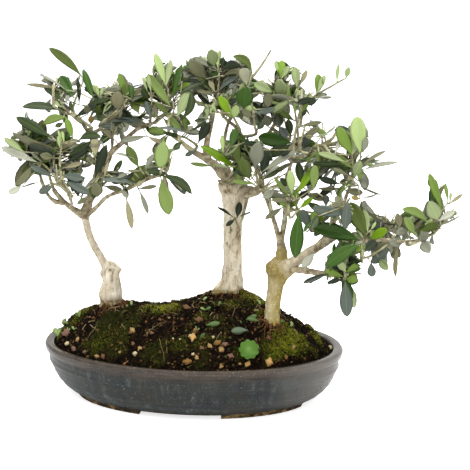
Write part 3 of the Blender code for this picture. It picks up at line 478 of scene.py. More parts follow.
# Sprays that the photo shows. Each is the mass that it belongs to, how far in millimetres its tip stands
# nearer to the camera than its root, the pixels that its twig runs through, and its leaves: the tone of
# the side that shows, the pixels of its base and tip, its width in pixels and the bow of its middle.
SPRAYS = [
    ("left_outer", 12, [(92, 128), (74, 113), (76, 98), (83, 82)], [
     ("full", 82, 77, 49, 48, 9.5, 2.5), ("deep", 94, 100, 83, 69, 7.5), ("deep", 74, 98, 60, 76, 12.5),
     ("black", 79, 105, 77, 77, 4.5), ("dark", 72, 113, 70, 101, 4), ("dusty", 66, 90, 39, 75, 2.5),
     ("black", 75, 117, 97, 104, 7), ("dusty", 68, 100, 66, 92, 7), ("drab", 88, 114, 86, 105, 7)]),
    ("left_outer", 16, [(80, 122), (64, 108), (60, 99)], [
     ("khaki", 64, 92, 26, 84, 4, 3), ("dark", 62, 101, 44, 88, 8, 2), ("sage", 61, 107, 54, 101, 4),
     ("dark", 64, 111, 22, 107, 8.5, 2.5), ("leafy", 68, 118, 43, 124, 9, 3), ("dusty", 66, 103, 68, 95, 5),
     ("dark", 63, 123, 55, 127, 5)]),
    ("left_low", 14, [(61, 178), (60, 158), (62, 144)], [
     ("bright", 73, 139, 66, 118, 7.5), ("young", 62, 142, 58, 130, 3), ("young", 64, 142, 62, 131, 3),
     ("sage", 60, 148, 58, 136, 4), ("dark", 52, 138, 16, 117, 10.5), ("drab", 60, 149, 12, 132, 7, -2),
     ("sage", 24, 152, 4, 138, 7), ("dusty", 57, 141, 48, 137, 5), ("black", 60, 155, 28, 145, 7),
     ("drab", 54, 158, 40, 155, 8), ("dark", 66, 157, 91, 141, 6), ("black", 66, 163, 89, 148, 6),
     ("khaki", 64, 168, 82, 163, 5), ("dark", 78, 141, 101, 137, 9, -4)]),
    ("left_low", 8, [(60, 180), (42, 163)], [
     ("silver", 37, 162, 1, 147, 9), ("dusty", 42, 162, 31, 152, 3), ("drab", 33, 164, 15, 186, 8, -2),
     ("blue", 54, 177, 30, 166, 7), ("dusty", 41, 181, 22, 187, 2, -1), ("silver", 22, 187, 8, 193, 7)]),
    ("left_under", 10, [(72, 196), (62, 178)], [
     ("blue", 62, 175, 84, 179, 8.5), ("blue", 64, 180, 90, 194, 9), ("blue", 54, 185, 39, 193, 8),
     ("drab", 90, 196, 77, 204, 5)]),
    ("left_centre", 8, [(97, 180), (96, 186)], [
     ("black", 95, 178, 106, 145, 10), ("drab", 98, 197, 96, 182, 12), ("khaki", 95, 157, 95, 138, 11),
     ("drab", 94, 165, 87, 157, 6), ("khaki", 104, 177, 108, 162, 4)]),
    ("left_right", 6, [(128, 188), (146, 177), (160, 176)], [
     ("dark", 160, 176, 192, 194, 9, -5), ("leafy", 161, 178, 169, 215, 15),
     ("dark", 144, 170, 166, 174, 7), ("leafy", 164, 139, 160, 168, 16),
     ("khaki", 147, 136, 166, 143, 5, 1), ("dusty", 145, 168, 154, 154, 6), ("dark", 170, 150, 166, 162, 3),
     ("drab", 138, 189, 157, 186, 4.5), ("dusty", 139, 190, 148, 214, 5), ("khaki", 126, 197, 132, 229, 7),
     ("black", 134, 173, 127, 178, 5), ("dusty", 128, 173, 117, 178, 4), ("drab", 142, 171, 127, 171, 3),
     ("blue", 138, 184, 101, 180, 5.5), ("dusty", 120, 188, 128, 198, 5), ("khaki", 145, 180, 136, 186, 5),
     ("full", 139, 168, 127, 146, 10), ("dusty", 133, 158, 115, 153, 3), ("dusty", 147, 136, 121, 141, 6)]),
    ("left_crown", 8, [(150, 125), (151, 112), (152, 98)], [
     ("blue", 150, 117, 146, 101, 7), ("full", 139, 114, 133, 100, 10), ("dark", 148, 99, 142, 88, 7),
     ("drab", 126, 96, 148, 90, 8), ("sage", 151, 92, 148, 75, 5), ("sage", 147, 91, 142, 77, 3),
     ("leafy", 155, 91, 150, 79, 5), ("leafy", 171, 107, 148, 74, 10.5), ("full", 154, 102, 168, 113, 6),
     ("leafy", 165, 112, 181, 131, 7.5), ("full", 163, 118, 176, 131, 6), ("drab", 157, 119, 155, 104, 5)]),
    ("left_crown", 14, [(160, 118), (168, 108), (168, 90), (166, 85)], [
     ("young", 166, 86, 155, 53, 8.5), ("sage", 166, 86, 171, 60, 7)]),
    ("left_crown", 10, [(164, 114), (178, 116)], [
     ("sage", 177, 117, 190, 91, 12.5), ("dark", 180, 120, 191, 92, 8, 5),
     ("full", 186, 131, 184, 117, 5.5), ("deep", 173, 101, 182, 64, 6), ("dark", 177, 95, 205, 82, 5.5),
     ("black", 182, 81, 202, 83, 4, -2)]),
    ("left_top_right", 6, [(100, 124), (118, 110), (128, 98)], [
     ("khaki", 118, 110, 117, 91, 14), ("bright", 125, 96, 119, 73, 7), ("leafy", 125, 96, 125, 82, 7.5),
     ("young", 99, 97, 96, 85, 4), ("sage", 100, 96, 103, 88, 4), ("dark", 88, 104, 109, 99, 6),
     ("sage", 103, 113, 111, 101, 5.5), ("black", 104, 114, 114, 103, 6), ("dusty", 103, 90, 118, 88, 3),
     ("dark", 97, 114, 102, 121, 5), ("blue", 99, 126, 112, 125, 5), ("drab", 98, 130, 111, 139, 6, -3),
     ("khaki", 113, 138, 117, 125, 3), ("dark", 125, 107, 135, 119, 2), ("dark", 141, 119, 145, 110, 2),
     ("blue", 148, 120, 108, 121, 4), ("blue", 145, 123, 115, 117, 3.5), ("ochre", 91, 124, 91, 115, 6),
     ("drab", 122, 109, 119, 118, 4), ("deep", 132, 100, 131, 85, 6), ("full", 96, 115, 99, 105, 6),
     ("sage", 98, 96, 93, 86, 3.5)]),
    ("middle_left", 12, [(197, 146), (186, 138), (178, 136)], [
     ("dark", 187, 138, 163, 132, 4.5), ("blue", 190, 134, 157, 128, 3.5), ("dark", 182, 142, 173, 149, 6),
     ("sage", 180, 149, 168, 150, 3), ("khaki", 183, 146, 194, 150, 5), ("blue", 196, 150, 185, 156, 5),
     ("black", 198, 143, 209, 122, 10), ("dark", 208, 119, 194, 121, 4), ("dark", 190, 131, 207, 120, 3.5),
     ("dusty", 193, 126, 188, 130, 5), ("leafy", 212, 166, 190, 163, 4.5)]),
    ("middle_up", 10, [(212, 118), (218, 92), (219, 72)], [
     ("drab", 206, 79, 189, 60, 14), ("dusty", 217, 69, 194, 57, 6.5), ("sage", 214, 66, 211, 49, 12),
     ("young", 218, 68, 216, 51, 5), ("sage", 219, 61, 220, 50, 4), ("black", 221, 68, 224, 58, 4.5),
     ("black", 222, 71, 241, 66, 9, -4), ("drab", 224, 76, 241, 73, 6, -3), ("dark", 213, 67, 207, 61, 5),
     ("blue", 219, 92, 238, 77, 7, -3), ("drab", 226, 97, 231, 88, 6), ("dark", 212, 91, 199, 82, 3.5),
     ("drab", 212, 94, 195, 90, 4), ("dusty", 208, 100, 200, 90, 3.5), ("deep", 217, 79, 212, 69, 7),
     ("drab", 206, 107, 195, 101, 4), ("sage", 208, 119, 206, 104, 5), ("khaki", 215, 92, 209, 80, 5)]),
    ("middle_front", 10, [(240, 130), (234, 118), (232, 113)], [
     ("vivid", 233, 118, 219, 96, 10), ("young", 234, 118, 237, 105, 9), ("sage", 210, 113, 214, 103, 4),
     ("black", 229, 104, 236, 99, 6), ("sage", 216, 112, 212, 104, 4), ("vivid", 238, 170, 200, 146, 8.5),
     ("young", 223, 152, 222, 135, 5), ("sage", 225, 155, 239, 141, 3, 2),
     ("sage", 231, 167, 212, 164, 3)]),
    ("middle_front", 16, [(256, 134), (254, 124), (253, 110), (248, 88)], [
     ("deep", 243, 109, 246, 86, 18), ("drab", 247, 86, 243, 68, 13), ("full", 252, 73, 233, 56, 8.5, 5),
     ("blue", 235, 84, 229, 88, 5), ("drab", 252, 117, 242, 110, 7), ("blue", 255, 113, 275, 109, 7),
     ("drab", 268, 108, 268, 93, 10), ("sage", 272, 92, 254, 83, 10), ("dark", 242, 119, 240, 110, 5),
     ("dark", 257, 130, 264, 121, 7)]),
    ("middle_front", 10, [(246, 88), (250, 80), (258, 70), (265, 60), (271, 50)], []),
    ("middle_back", 22, [(290, 140), (287, 130), (284, 118)], []),
    ("left_low", 6, [(56, 180), (54, 166), (54, 151)], [
     ("drab", 54, 160, 47, 152, 4), ("dark", 55, 168, 49, 162, 3), ("drab", 86, 165, 86, 152, 3),
     ("dark", 72, 152, 90, 143, 7), ("deep", 66, 142, 68, 134, 5), ("khaki", 84, 158, 78, 172, 3)]),
    ("middle_right", 14, [(260, 188), (256, 174), (253, 150), (243, 143)], [
     ("deep", 231, 147, 236, 128, 9), ("full", 239, 166, 235, 144, 9), ("full", 250, 180, 241, 158, 13),
     ("dusty", 255, 168, 258, 142, 15), ("black", 241, 144, 257, 143, 5), ("black", 246, 177, 235, 170, 5),
     ("leafy", 254, 184, 232, 181, 5), ("black", 262, 176, 267, 151, 10), ("dark", 262, 180, 280, 170, 5),
     ("dusty", 262, 172, 297, 151, 7.5), ("drab", 268, 177, 292, 163, 5),
     ("black", 292, 150, 280, 155, 6)]),
    ("middle_back", 20, [(296, 152), (297, 124), (292, 100)], [
     ("deep", 293, 143, 258, 137, 15), ("dark", 292, 144, 266, 156, 11), ("blue", 288, 138, 279, 127, 9),
     ("dark", 291, 136, 288, 119, 8), ("full", 295, 121, 273, 107, 8), ("dark", 280, 127, 278, 113, 10),
     ("drab", 268, 127, 267, 115, 10), ("sage", 284, 101, 278, 79, 13), ("leafy", 289, 100, 285, 84, 7),
     ("vivid", 281, 79, 282, 60, 8.5), ("sage", 281, 79, 289, 66, 6), ("young", 279, 74, 275, 61, 4),
     ("sage", 297, 88, 295, 67, 9), ("khaki", 300, 85, 307, 70, 5), ("young", 295, 114, 297, 97, 6),
     ("sage", 297, 103, 300, 90, 8)]),
    ("right_tall", 10, [(300, 126), (303, 112), (312, 98), (330, 87), (346, 78)], [
     ("bright", 316, 95, 318, 74, 9, 2), ("sage", 317, 93, 325, 75, 6), ("young", 337, 82, 339, 64, 3.5),
     ("young", 346, 78, 349, 67, 5.5), ("black", 315, 98, 297, 103, 7), ("black", 318, 99, 308, 105, 5),
     ("dusty", 318, 98, 332, 97, 3), ("bright", 301, 114, 309, 100, 4.5),
     ("black", 302, 117, 306, 110, 4)]),
    ("right_tall", 14, [(300, 150), (304, 130), (306, 124)], [
     ("drab", 300, 126, 322, 122, 5), ("black", 300, 151, 308, 138, 9), ("drab", 306, 135, 319, 128, 7),
     ("leafy", 308, 132, 328, 135, 4.5, -3), ("khaki", 311, 139, 309, 130, 6),
     ("sage", 316, 137, 327, 134, 3), ("black", 317, 151, 327, 146, 6), ("dark", 301, 160, 310, 158, 3)]),
    ("right_tall_side", 8, [(341, 182), (352, 175), (352, 162), (352, 155)], [
     ("bright", 352, 155, 338, 127, 13), ("sage", 352, 156, 358, 134, 11), ("leafy", 352, 168, 338, 156, 8),
     ("dark", 351, 170, 332, 161, 4), ("sage", 345, 162, 318, 153, 6.5, 1),
     ("dark", 345, 165, 312, 163, 6, 1), ("silver", 335, 154, 340, 140, 4),
     ("dusty", 322, 135, 336, 125, 2.5, 2)]),
    ("right_tall_side", 10, [(341, 182), (354, 177), (359, 166), (361, 152)], [
     ("young", 360, 154, 357, 116, 17), ("dusty", 363, 152, 367, 137, 7), ("sage", 354, 177, 361, 161, 10),
     ("drab", 362, 165, 386, 151, 4), ("dusty", 361, 170, 398, 162, 4.5),
     ("leafy", 358, 181, 363, 169, 5)]),
    ("right_tall_side", 6, [(341, 182), (352, 186), (358, 185)], [
     ("drab", 349, 176, 333, 168, 4.5), ("black", 340, 184, 319, 178, 7), ("drab", 345, 188, 318, 188, 4),
     ("dusty", 358, 185, 382, 195, 2.5), ("drab", 344, 190, 363, 193, 8), ("ochre", 360, 199, 351, 197, 5),
     ("dusty", 360, 198, 378, 194, 2), ("leafy", 313, 190, 315, 165, 9.5)]),
    ("right_inner", 16, [(283, 228), (286, 214), (296, 209), (296, 200)], [
     ("vivid", 297, 194, 313, 168, 8), ("young", 292, 195, 290, 170, 9), ("leafy", 293, 199, 274, 176, 4.5),
     ("bright", 296, 209, 296, 189, 7), ("bright", 293, 209, 279, 202, 5),
     ("vivid", 299, 209, 313, 197, 5.5), ("black", 311, 190, 299, 197, 7),
     ("drab", 292, 201, 271, 200, 5)]),
    ("right_inner", 34, [(290, 218), (297, 211)], [("deep", 299, 211, 295, 258, 14.5)]),
    ("right_inner", 6, [(272, 212), (270, 200), (272, 192)], [
     ("drab", 283, 207, 265, 219, 6), ("dusty", 275, 190, 263, 198, 9), ("dusty", 284, 191, 264, 190, 3)]),
    ("right_rise", 18, [(362, 262), (361, 246), (364, 236)], [
     ("deep", 361, 241, 312, 227, 16, 2), ("full", 366, 237, 350, 202, 16), ("sage", 368, 233, 364, 209, 8),
     ("young", 363, 238, 357, 228, 3), ("young", 371, 240, 373, 228, 5), ("vivid", 370, 239, 387, 229, 10),
     ("young", 371, 230, 376, 222, 3), ("black", 371, 230, 383, 221, 11), ("dusty", 365, 210, 364, 200, 6),
     ("drab", 381, 222, 366, 210, 3)]),
    ("right_mid", 8, [(352, 214), (345, 206)], [
     ("blue", 348, 199, 345, 229, 11), ("blue", 347, 215, 312, 208, 11), ("blue", 309, 228, 302, 209, 10),
     ("dark", 318, 216, 311, 229, 9), ("black", 326, 207, 326, 195, 7), ("drab", 346, 204, 332, 205, 6),
     ("drab", 340, 207, 336, 196, 6)]),
    ("right_mid", 12, [(362, 262), (362, 250)], [
     ("deep", 361, 244, 326, 266, 15, 2), ("black", 364, 252, 376, 241, 11),
     ("black", 362, 262, 343, 260, 11)]),
    ("right_elbow", 10, [(364, 258), (380, 250), (391, 241)], [
     ("drab", 391, 240, 373, 252, 7), ("blue", 390, 249, 371, 263, 11), ("sage", 379, 259, 388, 270, 9),
     ("blue", 371, 262, 372, 277, 9), ("khaki", 398, 246, 396, 277, 5), ("dusty", 403, 243, 389, 242, 10),
     ("dusty", 408, 231, 396, 233, 8), ("khaki", 400, 227, 397, 213, 8),
     ("black", 396, 225, 384, 223, 2.5)]),
    ("right_far", 8, [(408, 245), (421, 240), (432, 226), (441, 212), (447, 204)], [
     ("bright", 442, 209, 429, 173, 8.5), ("leafy", 448, 201, 445, 183, 4), ("sage", 450, 202, 451, 192, 3),
     ("khaki", 449, 204, 463, 194, 4), ("sage", 438, 220, 429, 201, 15), ("silver", 438, 221, 455, 211, 7),
     ("dusty", 437, 226, 460, 215, 2.5), ("full", 420, 231, 439, 224, 9.5), ("sage", 424, 230, 432, 219, 6),
     ("leafy", 428, 223, 402, 209, 9.5, 4), ("leafy", 415, 235, 405, 217, 8.5),
     ("dusty", 418, 240, 429, 233, 10), ("dusty", 422, 241, 430, 253, 12)]),
    ("right_low", 12, [(326, 272), (338, 274), (345, 278)], [
     ("bright", 344, 277, 325, 270, 7.5), ("bright", 346, 279, 358, 280, 8.5),
     ("bright", 346, 272, 359, 264, 6.5), ("deep", 349, 272, 361, 268, 5), ("sage", 346, 272, 338, 260, 8),
     ("black", 344, 271, 331, 264, 6), ("black", 343, 279, 327, 283, 5), ("black", 328, 274, 303, 283, 5.5),
     ("blue", 345, 280, 347, 317, 13.5), ("silver", 315, 253, 302, 267, 9)]),
    ("middle_sprout", 3, [(240, 226), (235, 218)], [
     ("black", 233, 217, 217, 207, 3), ("black", 237, 218, 240, 202, 7), ("black", 235, 219, 226, 226, 4.5),
     ("black", 240, 216, 252, 211, 2)]),
    ("right_inner", -14, [(283, 228), (290, 205), (302, 186)], [
     ("dark", 302, 186, 298, 162, 9), ("black", 300, 188, 324, 172, 8), ("dark", 296, 193, 280, 178, 8),
     ("drab", 304, 194, 327, 199, 8), ("full", 300, 199, 284, 208, 8), ("dark", 306, 202, 324, 212, 8),
     ("dark", 312, 176, 330, 166, 7), ("black", 316, 198, 334, 186, 7), ("drab", 296, 206, 302, 222, 7)]),
    ("left_under", -10, [(97, 190), (112, 176), (118, 168)], [
     ("drab", 104, 186, 122, 190, 6), ("dark", 112, 176, 122, 160, 6), ("dusty", 116, 172, 128, 176, 5),
     ("black", 108, 180, 120, 183, 5)]),
    ("right_inner", -8, [(299, 211), (316, 214), (326, 224)], [
     ("dark", 318, 214, 304, 222, 8), ("drab", 324, 220, 336, 208, 6), ("dark", 326, 224, 314, 236, 7)]),
]

# Places between those leaves where the photo shows the crown closed by inner leaves: the pixels by their
# reach in pixels.
CLOSED_PLACES = {
    4: [(330, 180)],
    5: [(107, 152), (73, 189), (64, 110), (222, 128), (350, 182)],
    6: [(60, 171), (80, 120), (148, 131), (180, 147), (300, 140), (425, 236), (70, 144), (264, 112),
        (120, 128), (76, 176), (296, 226), (292, 196), (312, 158)],
    7: [(309, 181), (378, 222), (353, 268), (98, 163), (320, 195), (410, 232), (340, 192), (250, 122),
        (282, 104), (332, 200), (306, 204)],
    8: [(262, 126), (301, 163), (342, 240), (384, 250), (243, 172), (245, 105), (272, 110), (74, 128),
        (348, 193)],
    9: [(316, 226), (84, 147)],
    10: [(346, 214), (366, 234)],
    11: [(285, 118), (288, 183), (250, 150)],
    12: [(330, 206)],
    13: [(279, 152)],
}

# Places where the photo shows sky between the leaves, which grown leaves keep out of: the pixels by their
# reach in pixels.
OPEN_PLACES = {
    3: [(164, 96)],
    4: [(150, 101), (161, 105), (185, 107), (170, 124), (120, 101), (88, 111), (326, 168), (161, 82),
        (218, 136), (36, 138), (254, 94), (172, 140), (278, 196), (60, 130), (138, 87), (350, 158)],
    5: [(176, 99), (138, 110), (113, 82), (147, 72), (198, 97), (195, 111), (228, 136), (48, 128),
        (276, 162), (271, 184), (322, 84), (345, 150), (395, 215), (294, 78), (158, 132), (320, 186),
        (372, 210)],
    6: [(326, 150), (128, 110), (104, 83), (308, 84), (255, 62), (378, 178), (34, 113), (142, 160)],
    7: [(91, 80), (136, 78), (446, 206), (175, 195)],
    8: [(330, 118)],
    9: [(332, 140)],
}

# What grows by the rule is kept where it lies behind placed leaves: the margin round each in pixels, how
# far a closed place looks for one, the width of a gap that counts as closed, the share of a leaf that has
# to be hidden, and the first points of a twig that need not be.
VIEW_MARGIN = 0.6
NEAR_REACH = 22
GAP_CLOSED = 3
HIDDEN_SHARE = 0.8
TWIG_FREE = 3

# An olive leaf is leathery above, from near black-green on old leaves to yellow-green on new ones, and
# matt below, where silvery hairs cover it. A tone is its colour and roughness. Tones are dealt out by
# shoot, and each goes with the tone of the leaf's other side.
LEAF_TONES = {
    "black": ("#182210", 0.33), "dark": ("#2c3a1b", 0.36), "deep": ("#31500f", 0.42),
    "full": ("#49561d", 0.45), "leafy": ("#6a7d3d", 0.5), "bright": ("#617a2a", 0.45),
    "vivid": ("#678804", 0.45), "young": ("#95a86a", 0.55), "sage": ("#889567", 0.65),
    # The blue tone is a dark leaf's green with the blue-grey sheen of its gloss painted in.
    "blue": ("#4a544c", 0.38), "drab": ("#656549", 0.55), "dusty": ("#7a7d6a", 0.75),
    "silver": ("#a9ab99", 0.8), "khaki": ("#8a8566", 0.7), "ochre": ("#907d44", 0.7),
    "rib": ("#4a6128", 0.6),
}
LEAF_SHINE = 0.35
RIBS = {"black": "dark", "dark": "full", "deep": "rib", "full": "rib", "bright": "leafy", "sage": "young",
        "blue": "drab"}
OTHER_SIDE = {"dusty": "deep", "silver": "full", "khaki": "drab", "sage": "silver", "young": "sage",
              "bright": "sage", "leafy": "silver", "vivid": "sage"}

# How often each tone is drawn for a grown leaf, by the age of its shoot.
TONE_SHARES = {
    "old": (("black", 2), ("dark", 3), ("deep", 3), ("full", 4), ("drab", 4), ("blue", 3), ("dusty", 4),
            ("khaki", 1), ("leafy", 2)),
    "new": (("full", 4), ("leafy", 3), ("bright", 2), ("sage", 2)),
    "tip": (("bright", 3), ("young", 5), ("sage", 2)),
}


def linear(colour):
    """An sRGB hex colour as linear numbers."""
    parts = [int(colour[k:k + 2], 16) / 255 for k in (1, 3, 5)]
    values = [part / 12.92 if part <= 0.04045 else ((part + 0.055) / 1.055) ** 2.4 for part in parts]
    return (*values, 1.0)


def add_node(tree, kind, inputs=None, output=0, stops=(), **settings):
    """Add a shader node and give one of its outputs. An input is a number, a hex colour or a socket, a
    setting is the node's own, and stops are the places and colours of a ramp."""
    made = tree.nodes.new("ShaderNode" + kind)
    for name, value in settings.items():
        setattr(made, name, value)
    for name, value in (inputs or {}).items():
        if isinstance(value, bpy.types.NodeSocket):
            tree.links.new(value, made.inputs[name])
        else:
            made.inputs[name].default_value = linear(value) if isinstance(value, str) else value
    if stops:
        elements = made.color_ramp.elements
        while len(elements) < len(stops):
            elements.new(0.5)
        for element, (place, colour) in zip(elements, stops):
            element.position = place
            element.color = linear(colour)
    return made.outputs[output]


def from_to(value, low, high, least=0.0, most=1.0):
    """Inputs that stretch a value from one span to another and hold it at the ends."""
    return {"Value": value, "From Min": low, "From Max": high, "To Min": least, "To Max": most}


def pattern(tree, grain, detail=4.0, roughness=0.6, stretch=(1, 1, 1)):
    """A noise over the piece's own place, whose grain is a size in millimetres."""
    place = add_node(tree, "TexCoord", output="Object")
    scales = [1 / (grain * MM * side) for side in stretch]
    scaled = add_node(tree, "Mapping", {"Vector": place, "Scale": scales})
    inputs = {"Vector": scaled, "Scale": 1.0, "Detail": detail, "Roughness": roughness}
    return add_node(tree, "TexNoise", inputs)


def mottled(tree, stops, *grain):
    """A colour that wanders between stops over a pattern."""
    return add_node(tree, "ValToRGB", {"Fac": pattern(tree, *grain)}, stops=stops)


def laid_over(tree, below, above, value, low=0.0, high=1.0, least=0.0, most=1.0):
    """A colour laid over another, from the least share to the most as a value goes from low to high."""
    share = add_node(tree, "MapRange", from_to(value, low, high, least, most))
    inputs = {MIX_SHARE: share, MIX_BELOW: below, MIX_ABOVE: above}
    return add_node(tree, "Mix", inputs, MIX_COLOUR, data_type="RGBA")


def marks_on(tree, names):
    """Numbers kept at a piece's points, by name."""
    return {name: add_node(tree, "Attribute", output="Fac", attribute_name=name) for name in names}


def new_material(name, settings):
    """A material with its shader's fixed values, and its node tree."""
    material = bpy.data.materials.new(name)
    material.use_nodes = True
    for socket, value in settings.items():
        material.node_tree.nodes["Principled BSDF"].inputs[socket].default_value = value
    return material, material.node_tree


def finished(material, links, relief, depth):
    """Feed a material's shader, with relief too fine for the mesh, its depth in millimetres."""
    tree = material.node_tree
    bump = add_node(tree, "Bump", {"Height": relief, "Strength": 1.0, "Distance": depth * MM})
    for name, source in {**links, "Normal": bump}.items():
        tree.links.new(source, tree.nodes["Principled BSDF"].inputs[name])
    return material


def glazed_stoneware():
    """Thrown stoneware under a satin iron glaze: slate blue where it pooled, plum brown where it ran
    thin over the rim, pale flecks, a right end painted paler as a reflection of the bright surroundings,
    and bare clay with wear and dirt on the feet."""
    material, tree = new_material("glazed stoneware", {
        "IOR": 1.5, "Specular IOR Level": 0.3, "Coat Roughness": 0.07, "Coat IOR": 1.6})
    streaks = pattern(tree, 7, 5.0, 0.65, (1, 1, 4.5))
    bands = pattern(tree, 24, 3.0, 0.6, (3, 3, 0.35))
    blotches = pattern(tree, 26, 3.0, 0.5, (1, 1, 0.7))
    place = add_node(tree, "TexCoord", output="Object")
    across = add_node(tree, "SeparateXYZ", {"Vector": place}, "X")
    height = add_node(tree, "SeparateXYZ", {"Vector": place}, "Z")
    uneven = add_node(tree, "Math", {0: streaks, 1: GLAZE_RUN * MM, 2: height}, operation="MULTIPLY_ADD")
    glaze = add_node(tree, "ValToRGB", {"Fac": streaks}, stops=[
        (0.3, "#0a0f10"), (0.44, "#1a2222"), (0.52, "#23241e"), (0.6, "#2c3837"), (0.72, "#4f544d")])
    pooled = laid_over(tree, glaze, "#121a1d", bands, 0.5, 0.62, 0, 0.7)
    rust = laid_over(tree, pooled, "#251f18", blotches, 0.52, 0.7, 0, 0.7)
    plum = mottled(tree, [(0.35, "#231c17"), (0.6, "#3f352c")], 12, 4.0, 0.6, (2.5, 2.5, 0.5))
    body = laid_over(tree, rust, plum, uneven, *RIM_GLAZE)
    lip = laid_over(tree, body, "#4d453c", uneven, *LIP_GLAZE, 0, 0.6)
    # The right end is painted paler: a painted reflection of the bright surroundings.
    painted_reflection = laid_over(tree, lip, "#6e6a64", across, *PAINTED_REFLECTION_END, 0, 0.75)
    flecked = laid_over(tree, painted_reflection, "#8f938c", pattern(tree, 1.3, 2.0, 0.5), 0.66, 0.72, 0, 0.6)
    clay = mottled(tree, [(0.36, "#1c150e"), (0.5, "#4a3a20"), (0.62, "#a08456")], 7, 5.0, 0.7)
    satin = add_node(tree, "MapRange", from_to(blotches, 0.3, 0.7, 0.22, 0.4))
    sleek = add_node(tree, "MapRange", from_to(height, *SLEEK_RIM, 1.0, 0.4))
    glossy = add_node(tree, "Math", {0: satin, 1: sleek}, operation="MULTIPLY")
    dull = add_node(tree, "MapRange", from_to(uneven, *BARE_FOOT, 0, 0.9))
    return finished(material, {
        "Base Color": laid_over(tree, flecked, clay, uneven, *BARE_FOOT),
        "Roughness": add_node(tree, "Math", {0: glossy, 1: dull}, operation="MAXIMUM"),
        "Coat Weight": add_node(tree, "MapRange", from_to(height, *RIM_COAT, 0, 0.2)),
    }, pattern(tree, 2.2, 3.0, 0.6, (1, 1, 1.6)), 0.05)


def damp_soil():
    """Peaty potting soil, nearly black where damp, with moss that greens where it has taken hold."""
    settings = {"Roughness": 0.95, "IOR": 1.4, "Specular IOR Level": 0.05}
    material, tree = new_material("damp soil", settings)
    marks = marks_on(tree, SOIL_LAYERS)
    crumbs = pattern(tree, 2.6, 8.0, 0.75)
    earth = add_node(tree, "ValToRGB", {"Fac": crumbs}, stops=[
        (0.36, "#050302"), (0.5, "#0d0805"), (0.6, "#1d130c"), (0.7, "#533b22")])
    old = mottled(tree, [(0.36, "#0b0c04"), (0.5, "#22230b"), (0.66, "#4c4a1d")], 3, 6.0, 0.75)
    fresh = mottled(tree, [(0.36, "#30360a"), (0.5, "#656d16"), (0.64, "#949a2e")], 3, 6.0, 0.75)
    green = laid_over(tree, old, fresh, marks["fresh"])
    return finished(material, {"Base Color": laid_over(tree, earth, green, marks["moss"])}, crumbs, 1.2)


def olive_bark():
    """Old olive bark: smooth pale grey-cream wood skin over knobs, ochre in its hollows, brown specks,
    a skin of green algae where it stays damp, and grey-brown skin on the slender limbs."""
    settings = {"Roughness": 0.8, "IOR": 1.45, "Specular IOR Level": 0.25}
    material, tree = new_material("olive bark", settings)
    marks = marks_on(tree, WOOD_LAYERS)
    skin = mottled(tree, [(0.3, "#a6967b"), (0.42, "#c9bca3"), (0.55, "#dad0bb"), (0.72, "#e8e2d5")],
                   4.5, 6.0, 0.65, (1, 1, 3.4))
    hollowed = laid_over(tree, skin, "#6d5636", marks["relief"], -0.15, -0.8, 0, 0.7)
    specked = laid_over(tree, hollowed, "#513d25", pattern(tree, 1.5, 2.0, 0.5), 0.65, 0.7, 0, 0.8)
    torn = add_node(tree, "MapRange", from_to(pattern(tree, 3.4, 5.0, 0.7), 0.38, 0.56, 0.35, 1))
    bare = add_node(tree, "Math", {0: marks["peeled"], 1: torn}, operation="MULTIPLY")
    peeled = laid_over(tree, specked, "#6b5735", bare)
    slender = mottled(tree, [(0.34, "#655942"), (0.5, "#968a70"), (0.66, "#b8b095")], 5, 5.0, 0.6)
    limbs = laid_over(tree, peeled, slender, marks["slender"])
    patchy = add_node(tree, "MapRange", from_to(pattern(tree, 3, 5.0, 0.7), 0.3, 0.5, 0.3, 1))
    damp = add_node(tree, "Math", {0: marks["algae"], 1: patchy}, operation="MULTIPLY")
    green = laid_over(tree, limbs, "#8a7b3a", damp)
    return finished(material, {"Base Color": green}, pattern(tree, 1.1, 5.0, 0.7, (1, 1, 2.2)), 0.35)


def twig_bark():
    """The thin skin of young olive shoots, pale grey-green turning straw brown."""
    material, tree = new_material("young twig bark", {"Roughness": 0.65, "IOR": 1.45})
    skin = mottled(tree, [(0.35, "#6b6247"), (0.5, "#8d8a66"), (0.65, "#aeae8c")], 6, 4.0, 0.6)
    return finished(material, {"Base Color": skin}, pattern(tree, 0.9, 3.0, 0.6), 0.1)


def plain_finish(name, colour, roughness, grain, depth, more=None):
    """A finish of one base colour with its own fine relief."""
    settings = {"Base Color": linear(colour), "Roughness": roughness, "IOR": 1.45, **(more or {})}
    material, tree = new_material(name, settings)
    return finished(material, {}, pattern(tree, grain, 3.0, 0.6), depth)


def leaf_materials():
    """A material for each tone of a leaf, by name."""
    shine = {"Specular IOR Level": LEAF_SHINE}
    return {name: plain_finish(f"olive leaf skin, {name}", colour, roughness, 2.4, 0.1, shine)
            for name, (colour, roughness) in LEAF_TONES.items()}


def waves(place, wave):
    """The height of a slow wave at a place."""
    size, height = wave
    return noise.noise(place / size) * height


def grain_at(place, grain, seed=Vector()):
    """A grain of relief at a place, before its height."""
    return noise.fractal(place / grain.size + seed, grain.weakening, grain.step, grain.octaves)


def turn_of(degrees):
    """Cosine and sine of an angle in degrees."""
    return math.cos(math.radians(degrees)), math.sin(math.radians(degrees))


def between(ends, share):
    """The value at a share of the way from one end to the other."""
    return ends[0] + (ends[1] - ends[0]) * share


def smooth_between(values, share):
    """The value at a share of the way along even values, on a smooth curve through them."""
    legs = len(values) - 1
    leg = min(int(share * legs), legs - 1)
    t = share * legs - leg
    before = values[max(leg - 1, 0)]
    start, end = values[leg], values[leg + 1]
    after = values[min(leg + 2, legs)]
    slope, next_slope = (end - before) / 2, (after - start) / 2
    bend = (3 * (end - start) - 2 * slope - next_slope) * t * t
    return start + slope * t + bend + (2 * (start - end) + slope + next_slope) * t * t * t


def square_to(direction):
    """Two unit vectors across a direction."""
    across = direction.cross(UP if abs(direction.z) < 0.9 else Vector((1, 0, 0))).normalized()
    return across, direction.cross(across)


def swung(direction, degrees):
    """A unit vector across a direction, turned about it by an angle in degrees."""
    across, other = square_to(direction)
    aside, over = turn_of(degrees)
    return across * aside + other * over


def squared(vector, direction):
    """The part of a vector that lies across a direction, as a unit vector."""
    return (vector - direction * vector.dot(direction)).normalized()


